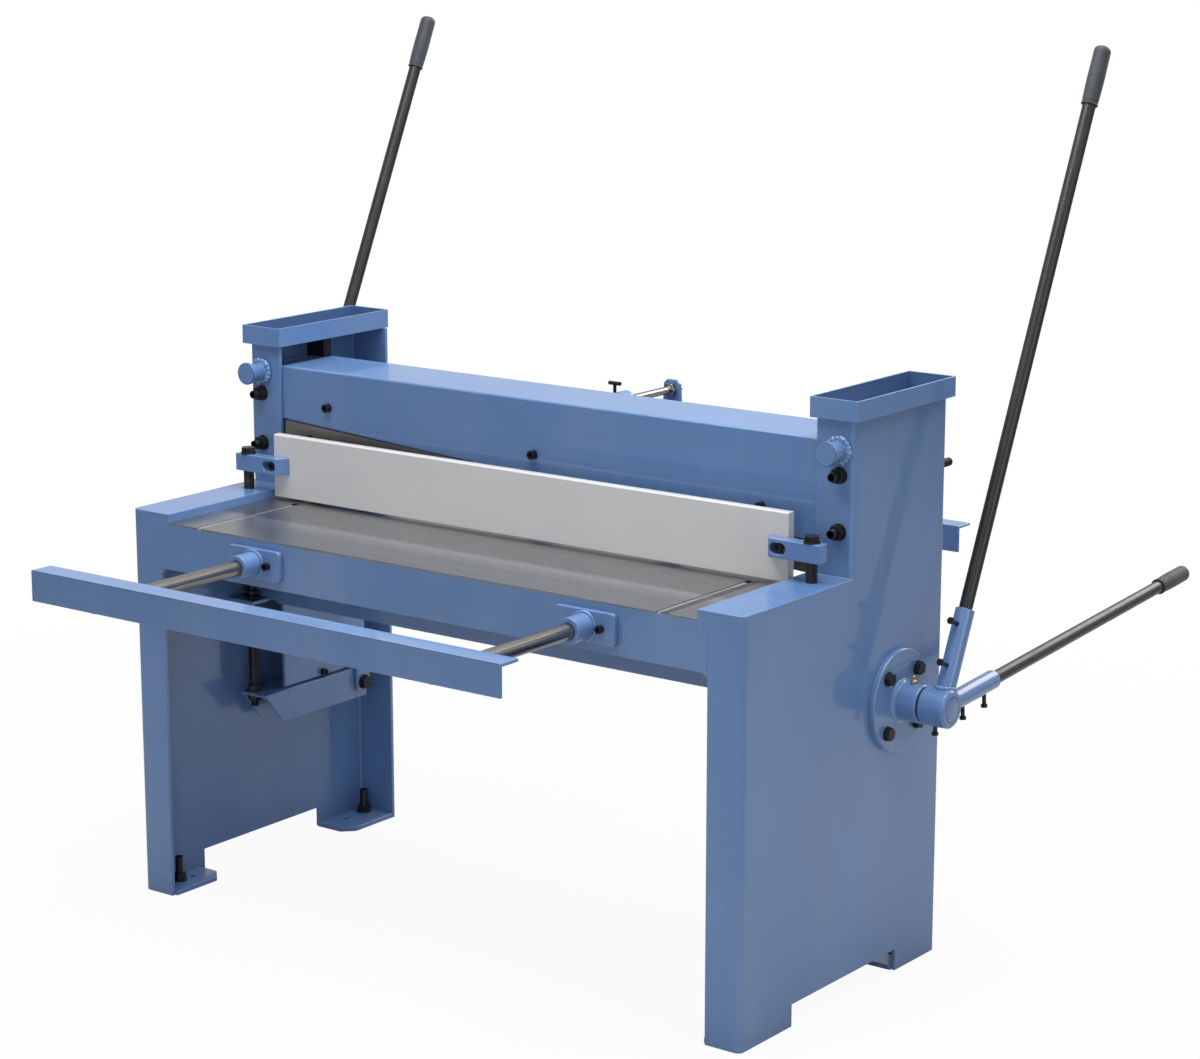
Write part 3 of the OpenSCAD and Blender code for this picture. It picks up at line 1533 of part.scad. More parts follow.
module gauge_lock_rod() {
    nut_h = lock_rod_d * nut_h_share;
    color(ground_steel) {
        y_bar(lock_rod_d, beam_rear_y - lock_rod_front,
            hanger_y + hanger_t + nut_h + lock_rod_over, 0, lock_z);
        for (y = [hanger_y - nut_h, hanger_y + hanger_t]) {
            translate([0, y, lock_z]) rotate([-90, 0, 0]) hexagon(lock_rod_d, nut_h);
        }
    }
}

// Locking screw with its cross bar, above the locking rod
module gauge_lock_screw() {
    low = lock_z + lock_rod_d / 2 + slide_gap;
    bar_z = lock_z + lock_tube_d / 2 + lock_stem_l + lock_bar_d / 2;
    color(black_steel) {
        z_bar(lock_screw_d, low, bar_z, 0, lock_screw_y);
        x_bar(lock_bar_d, -lock_bar_l / 2, lock_bar_l / 2, lock_screw_y, bar_z);
    }
}

left_end_frame();
right_end_frame();
foot_plates();
levelling_bolts();
front_apron();
table_plate();
bed_plate();
inner_plates();
lower_blade();
lower_blade_screws();
tool_trays();
lifting_pins();
gib_strips();
gib_screws();
rear_guide_rails();
rear_jack_bolts();
bearing_flanges();
bearing_bolts();
grease_nipples();
bronze_bushes();
spring_brackets();
arm_brackets();
arm_pivot_bolts();
arm_stop_bolts();
support_sockets();
socket_screws();
presser_springs();
lifting_springs();
cross_shaft();
crank_arms();
crank_rollers();
thrust_washers();
lever_hubs();
front_lever_tubes();
rear_lever_tubes();
front_lever_grips();
rear_lever_grips();
lever_set_screws();
blade_beam();
blade_carrier();
upper_blade();
beam_face_bolts();
blade_screws();
beam_end_guides();
pull_rods();
pull_rod_nuts();
crosshead_forks();
gauge_guide_rods();
hold_down_bar();
clamp_brackets();
bracket_screws();
hold_down_rods();
hold_down_rod_nuts();
hold_down_arms();
support_rods();
support_angle();
gauge_angle();
gauge_hangers();
gauge_lock_rod();
gauge_lock_screw();
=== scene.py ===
"""Looks of the hand-lever sheet metal shear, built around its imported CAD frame.

Every length is in metres, in the frame of the CAD: X along the blades, Y from the operator
to the back, Z up from the floor.
"""

import json
import math

import bmesh
import bpy
import numpy as np
from bpy.props import FloatProperty, FloatVectorProperty, IntProperty, PointerProperty
from mathutils import Euler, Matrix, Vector


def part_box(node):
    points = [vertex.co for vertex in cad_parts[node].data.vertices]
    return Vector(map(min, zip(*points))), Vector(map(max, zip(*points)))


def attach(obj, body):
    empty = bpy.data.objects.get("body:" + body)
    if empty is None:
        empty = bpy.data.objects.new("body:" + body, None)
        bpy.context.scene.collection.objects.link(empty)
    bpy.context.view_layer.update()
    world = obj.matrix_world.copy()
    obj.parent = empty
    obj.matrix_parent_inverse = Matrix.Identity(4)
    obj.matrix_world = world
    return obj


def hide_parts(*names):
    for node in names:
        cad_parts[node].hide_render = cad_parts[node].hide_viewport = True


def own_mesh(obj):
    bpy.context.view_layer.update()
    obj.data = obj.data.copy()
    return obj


bl_info = {
    "name": "Sheet Metal Shear Looks",
    "version": (1, 0, 0),
    "blender": (4, 5, 0),
    "location": "3D View > Sidebar > Shear",
    "description": "Dresses the CAD frame of a hand-lever sheet metal shear",
    "category": "Object",
}

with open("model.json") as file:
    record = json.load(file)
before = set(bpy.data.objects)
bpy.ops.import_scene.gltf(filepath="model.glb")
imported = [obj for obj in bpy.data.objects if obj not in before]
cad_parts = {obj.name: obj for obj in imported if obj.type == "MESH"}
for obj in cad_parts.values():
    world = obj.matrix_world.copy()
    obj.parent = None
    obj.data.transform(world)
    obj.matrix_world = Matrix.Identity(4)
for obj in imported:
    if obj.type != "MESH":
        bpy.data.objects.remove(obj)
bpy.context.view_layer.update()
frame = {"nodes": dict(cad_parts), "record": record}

# Places that the solids also use
SHAFT = np.array([0.0, 0.175, 0.548])
HUB_OUT, HUB_R = 0.872, 0.037
LEVER_X = 0.848
LEVER_ANGLES = {"front": math.radians(65.2), "rear": math.radians(4.0)}
LEVER_REACH = {"front": 1.319, "rear": 1.003}
SOCKET_R = 0.0185
TUBE_R = 0.013
GRIP_LENGTH, GRIP_R = 0.120, 0.0168
SHELF_Z = 0.8085
# The box inside the trays, where the tray enamel is painted darker as shade
TRAY_HOLLOW = ((0.6575, 0.7585), (0.0055, 0.3485), (1.1075, 1.1440))
STROKE = 0.0995
BAR_TRAVEL = 0.0045
STUD_R, THREAD_DEPTH = 0.0084, 0.0010

# The pale strips in the table's slots, a painted highlight for their lit walls, and the ticks beside
# the right slot, which start at SCALE_X; each kind has its step, width and far end
STRIP_X, STRIP_END_Y = (0.5618, 0.5702), -0.066
SCALE_X = 0.5745
TICKS = ((0.0025, 0.0014, 0.5840), (0.010, 0.0040, 0.5890))


# Meshes


def unit(vectors):
    """Each vector divided by its length."""
    vectors = np.asarray(vectors, float)
    return vectors / np.linalg.norm(vectors, axis=-1, keepdims=True)


def grid_quads(rows, columns, round_column=True, round_row=False):
    """Corners of the quads of a grid of points; a round direction joins its last line to its first."""
    r = np.arange(rows if round_row else rows - 1)
    c = np.arange(columns if round_column else columns - 1)
    a = r[:, None] * columns + c[None, :]
    b = r[:, None] * columns + ((c + 1) % columns)[None, :]
    up = ((r + 1) % rows)[:, None] * columns
    return np.stack([a, b, up + ((c + 1) % columns)[None, :], up + c[None, :]], -1).reshape(-1, 4)


def lathe(profile, base, axis, across, sides=48, six=()):
    """Surface of revolution: point = base + h * axis + r * (cos t * across + sin t * side). In
    the rows named by six, r is that of a hexagon: r * cos 30 / cos(t mod 60 - 30), in degrees."""
    profile = np.asarray(profile, float)
    axis, across = unit(axis), unit(across)
    side = np.cross(axis, across)
    t = np.linspace(0, 2 * math.pi, sides, endpoint=False)
    ring = np.cos(t)[:, None] * across + np.sin(t)[:, None] * side
    radius = np.tile(profile[:, :1], (1, sides))
    radius[list(six)] *= math.cos(math.pi / 6) / np.cos(np.mod(t, math.pi / 3) - math.pi / 6)
    points = base + profile[:, 1, None, None] * axis + radius[..., None] * ring[None]
    return points.reshape(-1, 3), grid_quads(len(profile), sides)


def sweep(path, normals, radius, sides=10, closed=False, flat=1.0):
    """Tube: point = path + radius * (cos t * normal + flat * sin t * (tangent x normal))."""
    path = np.asarray(path, float)
    if closed:
        tangent = np.roll(path, -1, 0) - np.roll(path, 1, 0)
    else:
        tangent = np.gradient(path, axis=0)
    tangent = unit(tangent)
    normal = normals - (normals * tangent).sum(-1, keepdims=True) * tangent
    normal = unit(normal)
    side = np.cross(tangent, normal)
    t = np.linspace(0, 2 * math.pi, sides, endpoint=False)
    radius = np.broadcast_to(radius, len(path))[:, None, None]
    ring = np.cos(t)[None, :, None] * normal[:, None] + flat * np.sin(t)[None, :, None] * side[:, None]
    points = path[:, None] + radius * ring
    return points.reshape(-1, 3), grid_quads(len(path), sides, round_row=closed)


def capped(points, sides):
    """A tube's rings, with one more at each end drawn to its middle, so that it is closed."""
    n = len(points) // sides
    first, last = points[:sides].mean(0), points[-sides:].mean(0)
    points = np.vstack([np.repeat(first[None], sides, 0), points, np.repeat(last[None], sides, 0)])
    return points, grid_quads(n + 2, sides)


def merge(parts):
    """Several (points, quads) as one."""
    points, quads, start = [], [], 0
    for p, q in parts:
        points.append(p)
        quads.append(q + start)
        start += len(p)
    return np.vstack(points), np.vstack(quads)


def mirrored(part):
    """The part and its mirror image in X, whose faces are turned back outwards."""
    points, quads = part
    return merge([part, (points * [-1, 1, 1], quads[:, ::-1])])


def make_piece(name, part, material, body, smooth=True):
    """A mesh object at the origin, its doubles merged and its faces outwards, riding on a body."""
    points, quads = part
    mesh = bpy.data.meshes.new(name)
    mesh.from_pydata(points.tolist(), [], quads.tolist())
    mesh.validate()
    work = bmesh.new()
    work.from_mesh(mesh)
    bmesh.ops.remove_doubles(work, verts=work.verts, dist=1e-6)
    bmesh.ops.dissolve_degenerate(work, dist=1e-7, edges=work.edges)
    bmesh.ops.recalc_face_normals(work, faces=work.faces)
    work.to_mesh(mesh)
    work.free()
    if smooth:
        mesh.shade_smooth()
        mesh.set_sharp_from_angle(angle=math.radians(38))
    mesh.materials.append(material)
    piece = bpy.data.objects.new(name, mesh)
    bpy.context.scene.collection.objects.link(piece)
    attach(piece, body)
    return piece


# Shader values


class Signal:
    """A shader socket that takes part in arithmetic: each operation adds a Math node."""

    def __init__(self, shader, socket):
        self.shader, self.socket = shader, socket

    def __add__(self, other):
        return self.shader.math("ADD", self, other)

    def __sub__(self, other):
        return self.shader.math("SUBTRACT", self, other)

    def __rsub__(self, other):
        return self.shader.math("SUBTRACT", other, self)

    def __mul__(self, other):
        return self.shader.math("MULTIPLY", self, other)

    def __pow__(self, other):
        return self.shader.math("POWER", self, other)

    def __mod__(self, other):
        return self.shader.math("FLOORED_MODULO", self, other)

    def __lt__(self, other):
        return self.shader.math("LESS_THAN", self, other)

    def __gt__(self, other):
        return self.shader.math("GREATER_THAN", self, other)

    def __abs__(self):
        return self.shader.math("ABSOLUTE", self)

    __radd__, __rmul__ = __add__, __mul__

    def between(self, low, high):
        """The value's place from low to high, held within 0 and 1."""
        inputs = {"Value": self, "From Min": low, "From Max": high}
        return self.shader.signal("ShaderNodeMapRange", {"clamp": True}, inputs)


class Nodes:
    """Adds nodes to a cleared tree."""

    def __init__(self, tree):
        self.tree = tree
        tree.nodes.clear()

    def node(self, kind, settings=None, inputs=None):
        """Adds a node, with its settings first and then its sockets' values or links."""
        made = self.tree.nodes.new(kind)
        for key, value in (settings or {}).items():
            setattr(made, key, value)
        for key, value in (inputs or {}).items():
            if isinstance(value, Signal):
                self.tree.links.new(value.socket, made.inputs[key])
            else:
                made.inputs[key].default_value = value
        return made

    def signal(self, kind, settings=None, inputs=None, out=0):
        """One output of a new node."""
        return Signal(self, self.node(kind, settings, inputs).outputs[out])

    def math(self, operation, *values):
        """One step of arithmetic."""
        return self.signal("ShaderNodeMath", {"operation": operation}, dict(enumerate(values)))


class Shader(Nodes):
    """Builds one material's nodes."""

    def __init__(self, name):
        self.material = bpy.data.materials.new(name)
        self.material.use_nodes = True
        super().__init__(self.material.node_tree)
        self.place = self.signal("ShaderNodeTexCoord", out="Object")
        parts = self.node("ShaderNodeSeparateXYZ", inputs={0: self.place})
        self.x, self.y, self.z = (Signal(self, o) for o in parts.outputs)

    def noise(self, scale, stretch=(1, 1, 1), detail=2.0, roughness=0.5):
        """Cloud noise from 0 to 1, its cells stretched by the sizes given."""
        place = self.signal("ShaderNodeMapping", inputs={"Vector": self.place, "Scale": stretch})
        inputs = {"Vector": place, "Scale": scale, "Detail": detail, "Roughness": roughness}
        return self.signal("ShaderNodeTexNoise", inputs=inputs)

    def mix(self, share, low, high):
        """Colour low where share is 0 and high where it is 1."""
        low, high = ((*c, 1.0) if isinstance(c, tuple) else c for c in (low, high))
        return self.signal("ShaderNodeMix", {"data_type": "RGBA"}, {0: share, 6: low, 7: high}, 2)

    def bump(self, height, distance, strength=1.0, below=None):
        """Normal bent by a height map whose full range stands for a distance in metres."""
        inputs = {"Strength": strength, "Distance": distance, "Height": height}
        if below is not None:
            inputs["Normal"] = below
        return self.signal("ShaderNodeBump", inputs=inputs)

    def finish(self, **inputs):
        """The surface itself; names of the shader's sockets with _ for a space."""
        named = {key.replace("_", " "): value for key, value in inputs.items()}
        surface = self.signal("ShaderNodeBsdfPrincipled", inputs=named)
        self.node("ShaderNodeOutputMaterial", inputs={0: surface})
        self.material.diffuse_color = (0.5, 0.5, 0.5, 1)
        return self.material


def shade(colour, factor):
    """A colour made darker or lighter."""
    return tuple(min(1.0, c * factor) for c in colour)


def enamel(name, colour, gloss, peel, shade_box=None):
    """Sprayed machine enamel: slow changes of tone, orange peel, and wiped dust that dulls it.
    Inside the box given last, and in its mirror image, the colour is darkened as painted shade."""
    s = Shader(name)
    cloud = s.noise(2.6, detail=3).between(0.3, 0.7)
    spray = s.noise(38, detail=2).between(0.25, 0.75)
    wiped = s.noise(5, (1, 1, 0.25), detail=4, roughness=0.62).between(0.45, 0.8)
    tone = s.mix(cloud, shade(colour, 0.94), shade(colour, 1.05))
    tone = s.mix(spray * 0.25, tone, shade(colour, 1.10))
    dusty = s.mix(wiped * 0.10, tone, (0.55, 0.57, 0.60))
    foot = (1 - s.z.between(0.004, 0.05)) * s.noise(30, detail=4)
    base = s.mix(foot * 0.35, dusty, shade(colour, 0.45))
    # Painted shade: the colour inside the given box is darkened
    if shade_box:
        shaded_inside = 1.0
        for place, (low, high) in zip((abs(s.x), s.y, s.z), shade_box):
            shaded_inside = (place > low) * (place < high) * shaded_inside
        base = s.mix(shaded_inside * 0.85, base, shade(colour, 0.50))
    normal = s.bump(s.noise(330, detail=1), 0.0004, peel)
    normal = s.bump(s.noise(55, detail=1), 0.0006, peel * 0.6, below=normal)
    return s.finish(
        Base_Color=base,
        Roughness=gloss + wiped * 0.10 + spray * 0.03,
        Coat_Weight=0.65,
        Coat_Roughness=0.035,
        Specular_IOR_Level=0.5,
        Normal=normal,
    )


def ground_steel(name, colour, along, rough):
    """Ground steel: fine scratches along one axis, with faint passes of the wheel and a little oil."""
    s = Shader(name)
    fine = [1800.0] * 3
    fine[along] = 12.0
    wide = [70.0] * 3
    wide[along] = 1.6
    lines = s.noise(1.0, tuple(fine), detail=2)
    passes = s.noise(1.0, tuple(wide), detail=2)
    oil = s.noise(9, detail=4, roughness=0.6).between(0.42, 0.75)
    tone = s.mix(lines.between(0.25, 0.75), shade(colour, 0.86), shade(colour, 1.10))
    tone = s.mix(passes.between(0.3, 0.7) * 0.5, tone, shade(colour, 0.90))
    tone = s.mix(oil * 0.22, tone, shade(colour, 0.72))
    return s.finish(
        Base_Color=tone,
        Metallic=1.0,
        Roughness=rough + lines * 0.10 - oil * 0.06,
        Normal=s.bump(lines, 0.00006, 0.5),
    )


def table_steel():
    """The ground table: scratches along X, a lighter band across the middle as a painted reflection,
    painted shade darkening it towards the bar, and plain ticks beside the right T-slot."""
    s = Shader("ground_table")
    colour = (0.33, 0.335, 0.345)
    front_y, bar_y, face_z = -0.34, -0.045, 0.7945
    lines = s.noise(1.0, (9.0, 1500.0, 300.0), detail=2)
    passes = s.noise(1.0, (1.3, 46.0, 10.0), detail=2)
    oil = s.noise(6.5, (0.3, 1, 1), detail=5, roughness=0.62).between(0.42, 0.75)
    tone = s.mix(lines.between(0.25, 0.75), shade(colour, 0.90), shade(colour, 1.08))
    tone = s.mix(passes.between(0.3, 0.7) * 0.6, tone, shade(colour, 0.88))
    tone = s.mix(oil * 0.12, tone, shade(colour, 0.74))
    # Painted reflection: a lighter band across the middle of the table
    bright = s.y.between(-0.250, -0.200) * (1 - s.y.between(-0.198, -0.180))
    tone = s.mix(bright * 0.45, tone, (0.62, 0.62, 0.64))
    # Painted shade: the table darkens towards the bar
    tone = s.mix(s.y.between(-0.195, -0.175) * 0.40, tone, shade(colour, 0.58))
    marks = 0.0
    for step, width, end in TICKS:
        tick = ((s.y - front_y) % step < width) * (s.x > SCALE_X) * (s.x < end)
        marks = s.math("MAXIMUM", tick, marks)
    marks = marks * (s.z > face_z) * (s.y < bar_y)
    tone = s.mix(marks, tone, (0.02, 0.02, 0.02))
    return s.finish(
        Base_Color=tone,
        Metallic=(1 - marks) * 0.92,
        Roughness=0.25 + lines * 0.08 - oil * 0.04 + marks * 0.6,
        Normal=s.bump(lines, 0.00005, 0.45),
    )


def turned_steel(name, colour, along, rough):
    """A turned or drawn bar: faint rings across its length and a film of oil."""
    s = Shader(name)
    rings = [3.0] * 3
    rings[along] = 900.0
    turned = s.noise(1.0, tuple(rings), detail=1)
    film = s.noise(16, detail=4, roughness=0.6).between(0.4, 0.75)
    tone = s.mix(turned.between(0.3, 0.7), shade(colour, 0.94), shade(colour, 1.05))
    tone = s.mix(film * 0.22, tone, shade(colour, 0.62))
    return s.finish(
        Base_Color=tone,
        Metallic=1.0,
        Roughness=rough + film * 0.06,
        Normal=s.bump(turned, 0.00001, 0.06),
    )


def black_oxide(name, colour, rough):
    """Blackened steel: nearly black, mottled, with brighter rubbed spots."""
    s = Shader(name)
    mottle = s.noise(120, detail=3, roughness=0.6).between(0.35, 0.7)
    rubbed = s.noise(45, detail=4, roughness=0.65).between(0.58, 0.8)
    tone = s.mix(mottle, shade(colour, 0.7), shade(colour, 1.35))
    tone = s.mix(rubbed * 0.4, tone, (0.14, 0.135, 0.13))
    return s.finish(
        Base_Color=tone,
        Metallic=0.55,
        Roughness=rough + mottle * 0.12,
        Normal=s.bump(mottle, 0.00012, 0.4),
    )


def tube_lacquer(name, colour, rough):
    """Lacquered lever tube: thin black paint with faint scuffs and a few rubbed specks."""
    s = Shader(name)
    scuff = s.noise(22, detail=3).between(0.5, 0.75)
    speck = s.noise(260, detail=2).between(0.62, 0.72)
    tone = s.mix(scuff * 0.4, colour, shade(colour, 2.2))
    tone = s.mix(speck * 0.06, tone, (0.16, 0.155, 0.15))
    return s.finish(
        Base_Color=tone,
        Roughness=rough + scuff * 0.12,
        Specular_IOR_Level=0.42,
        Coat_Weight=0.15,
        Coat_Roughness=0.20,
        Normal=s.bump(s.noise(160, detail=1), 0.00008, 0.10),
    )


def moulded_rubber(name, colour):
    """Moulded rubber grip: matt, finely grained, with a greyer bloom."""
    s = Shader(name)
    grain = s.noise(1500, detail=2)
    bloom = s.noise(26, detail=4, roughness=0.6).between(0.4, 0.75)
    tone = s.mix(bloom * 0.45, colour, shade(colour, 1.7))
    return s.finish(
        Base_Color=tone,
        Roughness=0.52 + bloom * 0.12,
        Specular_IOR_Level=0.42,
        Sheen_Weight=0.15,
        Normal=s.bump(grain, 0.00025, 0.5),
    )


def brass(name, colour, paint=None):
    """Machined brass or bronze with darker handling marks; what stands above the shelf may be
    painted with the machine."""
    s = Shader(name)
    touched = s.noise(60, detail=4, roughness=0.6).between(0.4, 0.75)
    tone = s.mix(touched * 0.5, colour, shade(colour, 0.5))
    bare = 1.0
    if paint:
        above = s.z > SHELF_Z
        tone = s.mix(above, tone, paint)
        bare = 1 - above
    return s.finish(
        Base_Color=tone,
        Metallic=bare,
        Roughness=0.26 + touched * 0.16,
        Normal=s.bump(s.noise(900, detail=1), 0.0001, 0.2),
    )


# Settings


class ShearSettings(bpy.types.PropertyGroup):
    """Sizes and colours that a user would change."""

    paint: FloatVectorProperty(
        name="Machine paint",
        description="Enamel of the frame, beam, trays and levers",
        subtype="COLOR",
        size=3,
        min=0,
        max=1,
        default=(0.100, 0.200, 0.420),
    )
    bar_paint: FloatVectorProperty(
        name="Bar paint",
        description="Enamel of the hold-down bar",
        subtype="COLOR",
        size=3,
        min=0,
        max=1,
        default=(0.60, 0.60, 0.605),
    )
    rubber: FloatVectorProperty(
        name="Grip rubber",
        description="Moulded rubber of the four grips",
        subtype="COLOR",
        size=3,
        min=0,
        max=1,
        default=(0.022, 0.025, 0.034),
    )
    gloss: FloatProperty(
        name="Paint roughness",
        description="How dull the enamel is",
        subtype="FACTOR",
        default=0.30,
        min=0.05,
        max=0.9,
    )
    edge: FloatProperty(
        name="Edge round",
        description="Width of the rounded edges of sheets and plates",
        subtype="DISTANCE",
        unit="LENGTH",
        default=0.0012,
        min=0.0002,
        max=0.003,
    )
    bead: FloatProperty(
        name="Weld bead",
        description="Radius of a painted weld bead",
        subtype="DISTANCE",
        unit="LENGTH",
        default=0.0034,
        min=0.001,
        max=0.006,
    )
    pitch: FloatProperty(
        name="Thread pitch",
        description="Pitch of the studs' threads",
        subtype="DISTANCE",
        unit="LENGTH",
        default=0.002,
        min=0.001,
        max=0.003,
    )
    presser_turns: IntProperty(
        name="Presser spring turns",
        description="Number of turns in a presser spring",
        default=10,
        min=6,
        max=16,
    )
    lifting_turns: IntProperty(
        name="Lifting spring turns",
        description="Number of turns in a lifting spring",
        default=9,
        min=6,
        max=14,
    )
    light: FloatProperty(
        name="Light level",
        description="Strength of the studio lamps",
        subtype="FACTOR",
        default=1.0,
        min=0.1,
        max=3.0,
    )


SLOT_FINISH = {
    "blue_paint": "machine_enamel",
    "grey_paint": "bar_enamel",
    "ground_steel": "ground_bar",
    "blade_steel": "blade_steel",
    "black_steel": "black_oxide",
    "bronze": "bronze",
    "grip_rubber": "grip_rubber",
}
NODE_FINISH = {
    "table_plate": "ground_table",
    "support_rods": "turned_bar_y",
    "gauge_guide_rods": "turned_bar_y",
    "gauge_lock_rod": "turned_bar_y",
    "cross_shaft": "turned_bar_x",
    "pull_rods": "turned_bar_z",
    "front_lever_tubes": "lever_lacquer",
    "rear_lever_tubes": "rear_lever_lacquer",
    "hold_down_bar": "bar_enamel",
    "tool_trays": "tray_enamel",
    "bronze_bushes": "rod_bush",
}

# Nodes with fine edges, nodes with edges of their own width, and nodes that keep their edges,
# because wound or moulded pieces replace them
SMALL = {
    "levelling_bolts", "lower_blade_screws", "gib_screws", "rear_jack_bolts", "bearing_bolts",
    "grease_nipples", "bronze_bushes", "arm_pivot_bolts", "arm_stop_bolts", "socket_screws",
    "thrust_washers", "lever_set_screws", "beam_face_bolts", "blade_screws", "pull_rod_nuts",
    "bracket_screws", "hold_down_rods", "hold_down_rod_nuts", "gauge_lock_screw",
}
EDGES = {
    "blade_beam": 0.0045, "left_end_frame": 0.0008, "right_end_frame": 0.0008,
    "front_apron": 0.0003, "support_sockets": 0.0020, "table_plate": 0.0004,
    "tool_trays": 0.0006, "lower_blade": 0.0002, "upper_blade": 0.0002,
}
SMALL_EDGE = 0.0005
PLAIN = {"presser_springs", "lifting_springs", "front_lever_grips", "rear_lever_grips"}
FINISHES = {}


def settings():
    """The sizes and colours that the user has set."""
    return bpy.context.scene.shear


def finishes():
    """All finishes by name, made once."""
    if FINISHES:
        return FINISHES
    own = settings()
    paint, bar, rubber = tuple(own.paint), tuple(own.bar_paint), tuple(own.rubber)
    bronze, gloss = (0.52, 0.34, 0.13), own.gloss
    FINISHES["machine_enamel"] = enamel("machine_enamel", paint, gloss, 0.10)
    # The trays' enamel, painted darker inside the trays as shade
    FINISHES["tray_enamel"] = enamel(
        "tray_enamel", shade(paint, 1.04), gloss + 0.04, 0.16, TRAY_HOLLOW
    )
    FINISHES["weld_enamel"] = enamel("weld_enamel", shade(paint, 1.06), 0.16, 0.25)
    FINISHES["bar_enamel"] = enamel("bar_enamel", bar, gloss + 0.06, 0.08)
    FINISHES["ground_table"] = table_steel()
    for build, rows in (
        (ground_steel, (
            ("ground_bar", (0.34, 0.34, 0.345), 1, 0.32),
            # Pale steel of the slot strips, a painted highlight for the lit slot walls
            ("bright_strip", (0.66, 0.66, 0.68), 1, 0.30),
            ("blade_steel", (0.30, 0.275, 0.25), 0, 0.30),
        )),
        (turned_steel, (
            ("turned_bar_x", (0.40, 0.40, 0.41), 0, 0.24),
            ("turned_bar_y", (0.36, 0.335, 0.31), 1, 0.20),
            ("turned_bar_z", (0.40, 0.40, 0.41), 2, 0.26),
        )),
        (black_oxide, (
            ("black_oxide", (0.016, 0.016, 0.018), 0.30),
            ("spring_steel", (0.030, 0.029, 0.028), 0.26),
        )),
        (tube_lacquer, (
            ("lever_lacquer", (0.010, 0.010, 0.010), 0.34),
            ("rear_lever_lacquer", (0.020, 0.018, 0.017), 0.34),
        )),
        # The darker rubber of the grips' mouths is painted shade
        (moulded_rubber, (("grip_rubber", rubber), ("grip_mouth", shade(rubber, 0.35)))),
        (brass, (("bronze", bronze), ("rod_bush", bronze, paint))),
    ):
        for row in rows:
            FINISHES[row[0]] = build(*row)
    return FINISHES


# Operators


def round_edges(piece, width, segments, held=False):
    """Rounds the sharp edges of an object and keeps its flat faces even in the light."""
    edge = piece.modifiers.new("edge", "BEVEL")
    edge.width, edge.segments = width, segments
    edge.use_clamp_overlap, edge.loop_slide = held, False
    edge.limit_method = "ANGLE"
    edge.angle_limit = math.radians(35)
    shine = piece.modifiers.new("shine", "WEIGHTED_NORMAL")
    shine.mode = "FACE_AREA"
    shine.weight = 100


class SHEAR_OT_dress(bpy.types.Operator):
    """Gives every CAD node its finish and rounds its edges"""

    bl_idname = "shear.dress"
    bl_label = "Finish the CAD nodes"

    def execute(self, context):
        own = settings()
        slots = {row["node"]: row["material_slot"] for row in frame["record"]["subparts"]}
        for name, node in frame["nodes"].items():
            finish = NODE_FINISH.get(name) or SLOT_FINISH[slots[name]]
            node.data.materials.clear()
            node.data.materials.append(finishes()[finish])
            if name in PLAIN:
                continue
            join = node.modifiers.new("join", "WELD")
            join.merge_threshold = 1e-5
            plane = node.modifiers.new("plane", "DECIMATE")
            plane.decimate_type = "DISSOLVE"
            plane.angle_limit = math.radians(0.5)
            width = EDGES.get(name, SMALL_EDGE if name in SMALL else own.edge)
            round_edges(node, width, 3 if name in EDGES else 2, name in SMALL)
        return {"FINISHED"}


def slotted_block(low, high, back_x, middle, half, radius):
    """Block with a round-ended slot right through it along Y, its inner end slanted out to back_x.
    The outline's points and the slot's run round side by side, on the near face and on the far
    one; a point of the slot = middle +- (half + radius * cos t) along X and +- radius * sin t
    along Z, for t from -90 to 90 degrees."""
    steps = 25
    t = np.linspace(-math.pi / 2, math.pi / 2, steps)
    share = np.linspace(0, 1, steps)
    turns = [0, 0.25, 0.75, 1]
    rims = []
    for side, end in ((1, high[0]), (-1, low[0])):
        slot_x = middle[0] + side * (half + radius * np.cos(t))
        slot_z = middle[1] + side * radius * np.sin(t)
        start = middle[0] + side * half
        near, far = (low[2], high[2]) if side > 0 else (high[2], low[2])
        out_x = np.interp(share, turns, [start, end, end, start])
        out_z = np.interp(share, turns, [near, near, far, far])
        rims.append(np.stack([slot_x, slot_z, out_x, out_z], -1))
    slot_x, slot_z, out_x, out_z = np.vstack(rims).T
    far_x = np.where(out_x == low[0], back_x, out_x)
    rows = [
        (slot_x, low[1], slot_z),
        (out_x, low[1], out_z),
        (far_x, high[1], out_z),
        (slot_x, high[1], slot_z),
    ]
    points = np.stack([np.stack([x, np.full_like(x, y), z], -1) for x, y, z in rows])
    return points.reshape(-1, 3), grid_quads(len(rows), len(slot_x), round_row=True)


class SHEAR_OT_brackets(bpy.types.Operator):
    """Mills the bar's end brackets, each with a closed slot for its screw"""

    bl_idname = "shear.brackets"
    bl_label = "Bar brackets"

    def execute(self, context):
        low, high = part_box("clamp_brackets")
        middle = (low.z + high.z) / 2
        front_x, back_x, corner = 0.613, 0.596, 0.0018
        slot_x, slot_half, slot_radius = 0.6325, 0.0068, 0.0106
        block = slotted_block(
            (front_x, low.y, low.z), high, back_x, (slot_x, middle), slot_half, slot_radius
        )
        piece = make_piece(
            "slotted_brackets", mirrored(block), finishes()["machine_enamel"], "hold_down"
        )
        round_edges(piece, corner, 3)
        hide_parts("clamp_brackets")
        screw_x, reach = 0.6305, 0.0200
        shank_r, head_r, head_length, chamfer = 0.0052, 0.0092, 0.0062, 0.0010
        mouth_r, floor_r, depth, cone = 0.0048, 0.0046, 0.0055, 0.0013
        screw = [
            [0, 0], [shank_r, 0], [shank_r, reach - head_length], [head_r, reach - head_length],
            [head_r, reach - chamfer], [head_r - chamfer, reach], [mouth_r, reach],
            [floor_r, reach - depth], [0, reach - depth - cone],
        ]
        base = np.array([screw_x, high.y, middle])
        head = lathe(screw, base, (0, -1, 0), (1, 0, 0), 48, six=(6, 7))
        screws = make_piece(
            "slot_screws", mirrored(head), finishes()["black_oxide"], "hold_down"
        )
        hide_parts("bracket_screws")
        return {"FINISHED"}


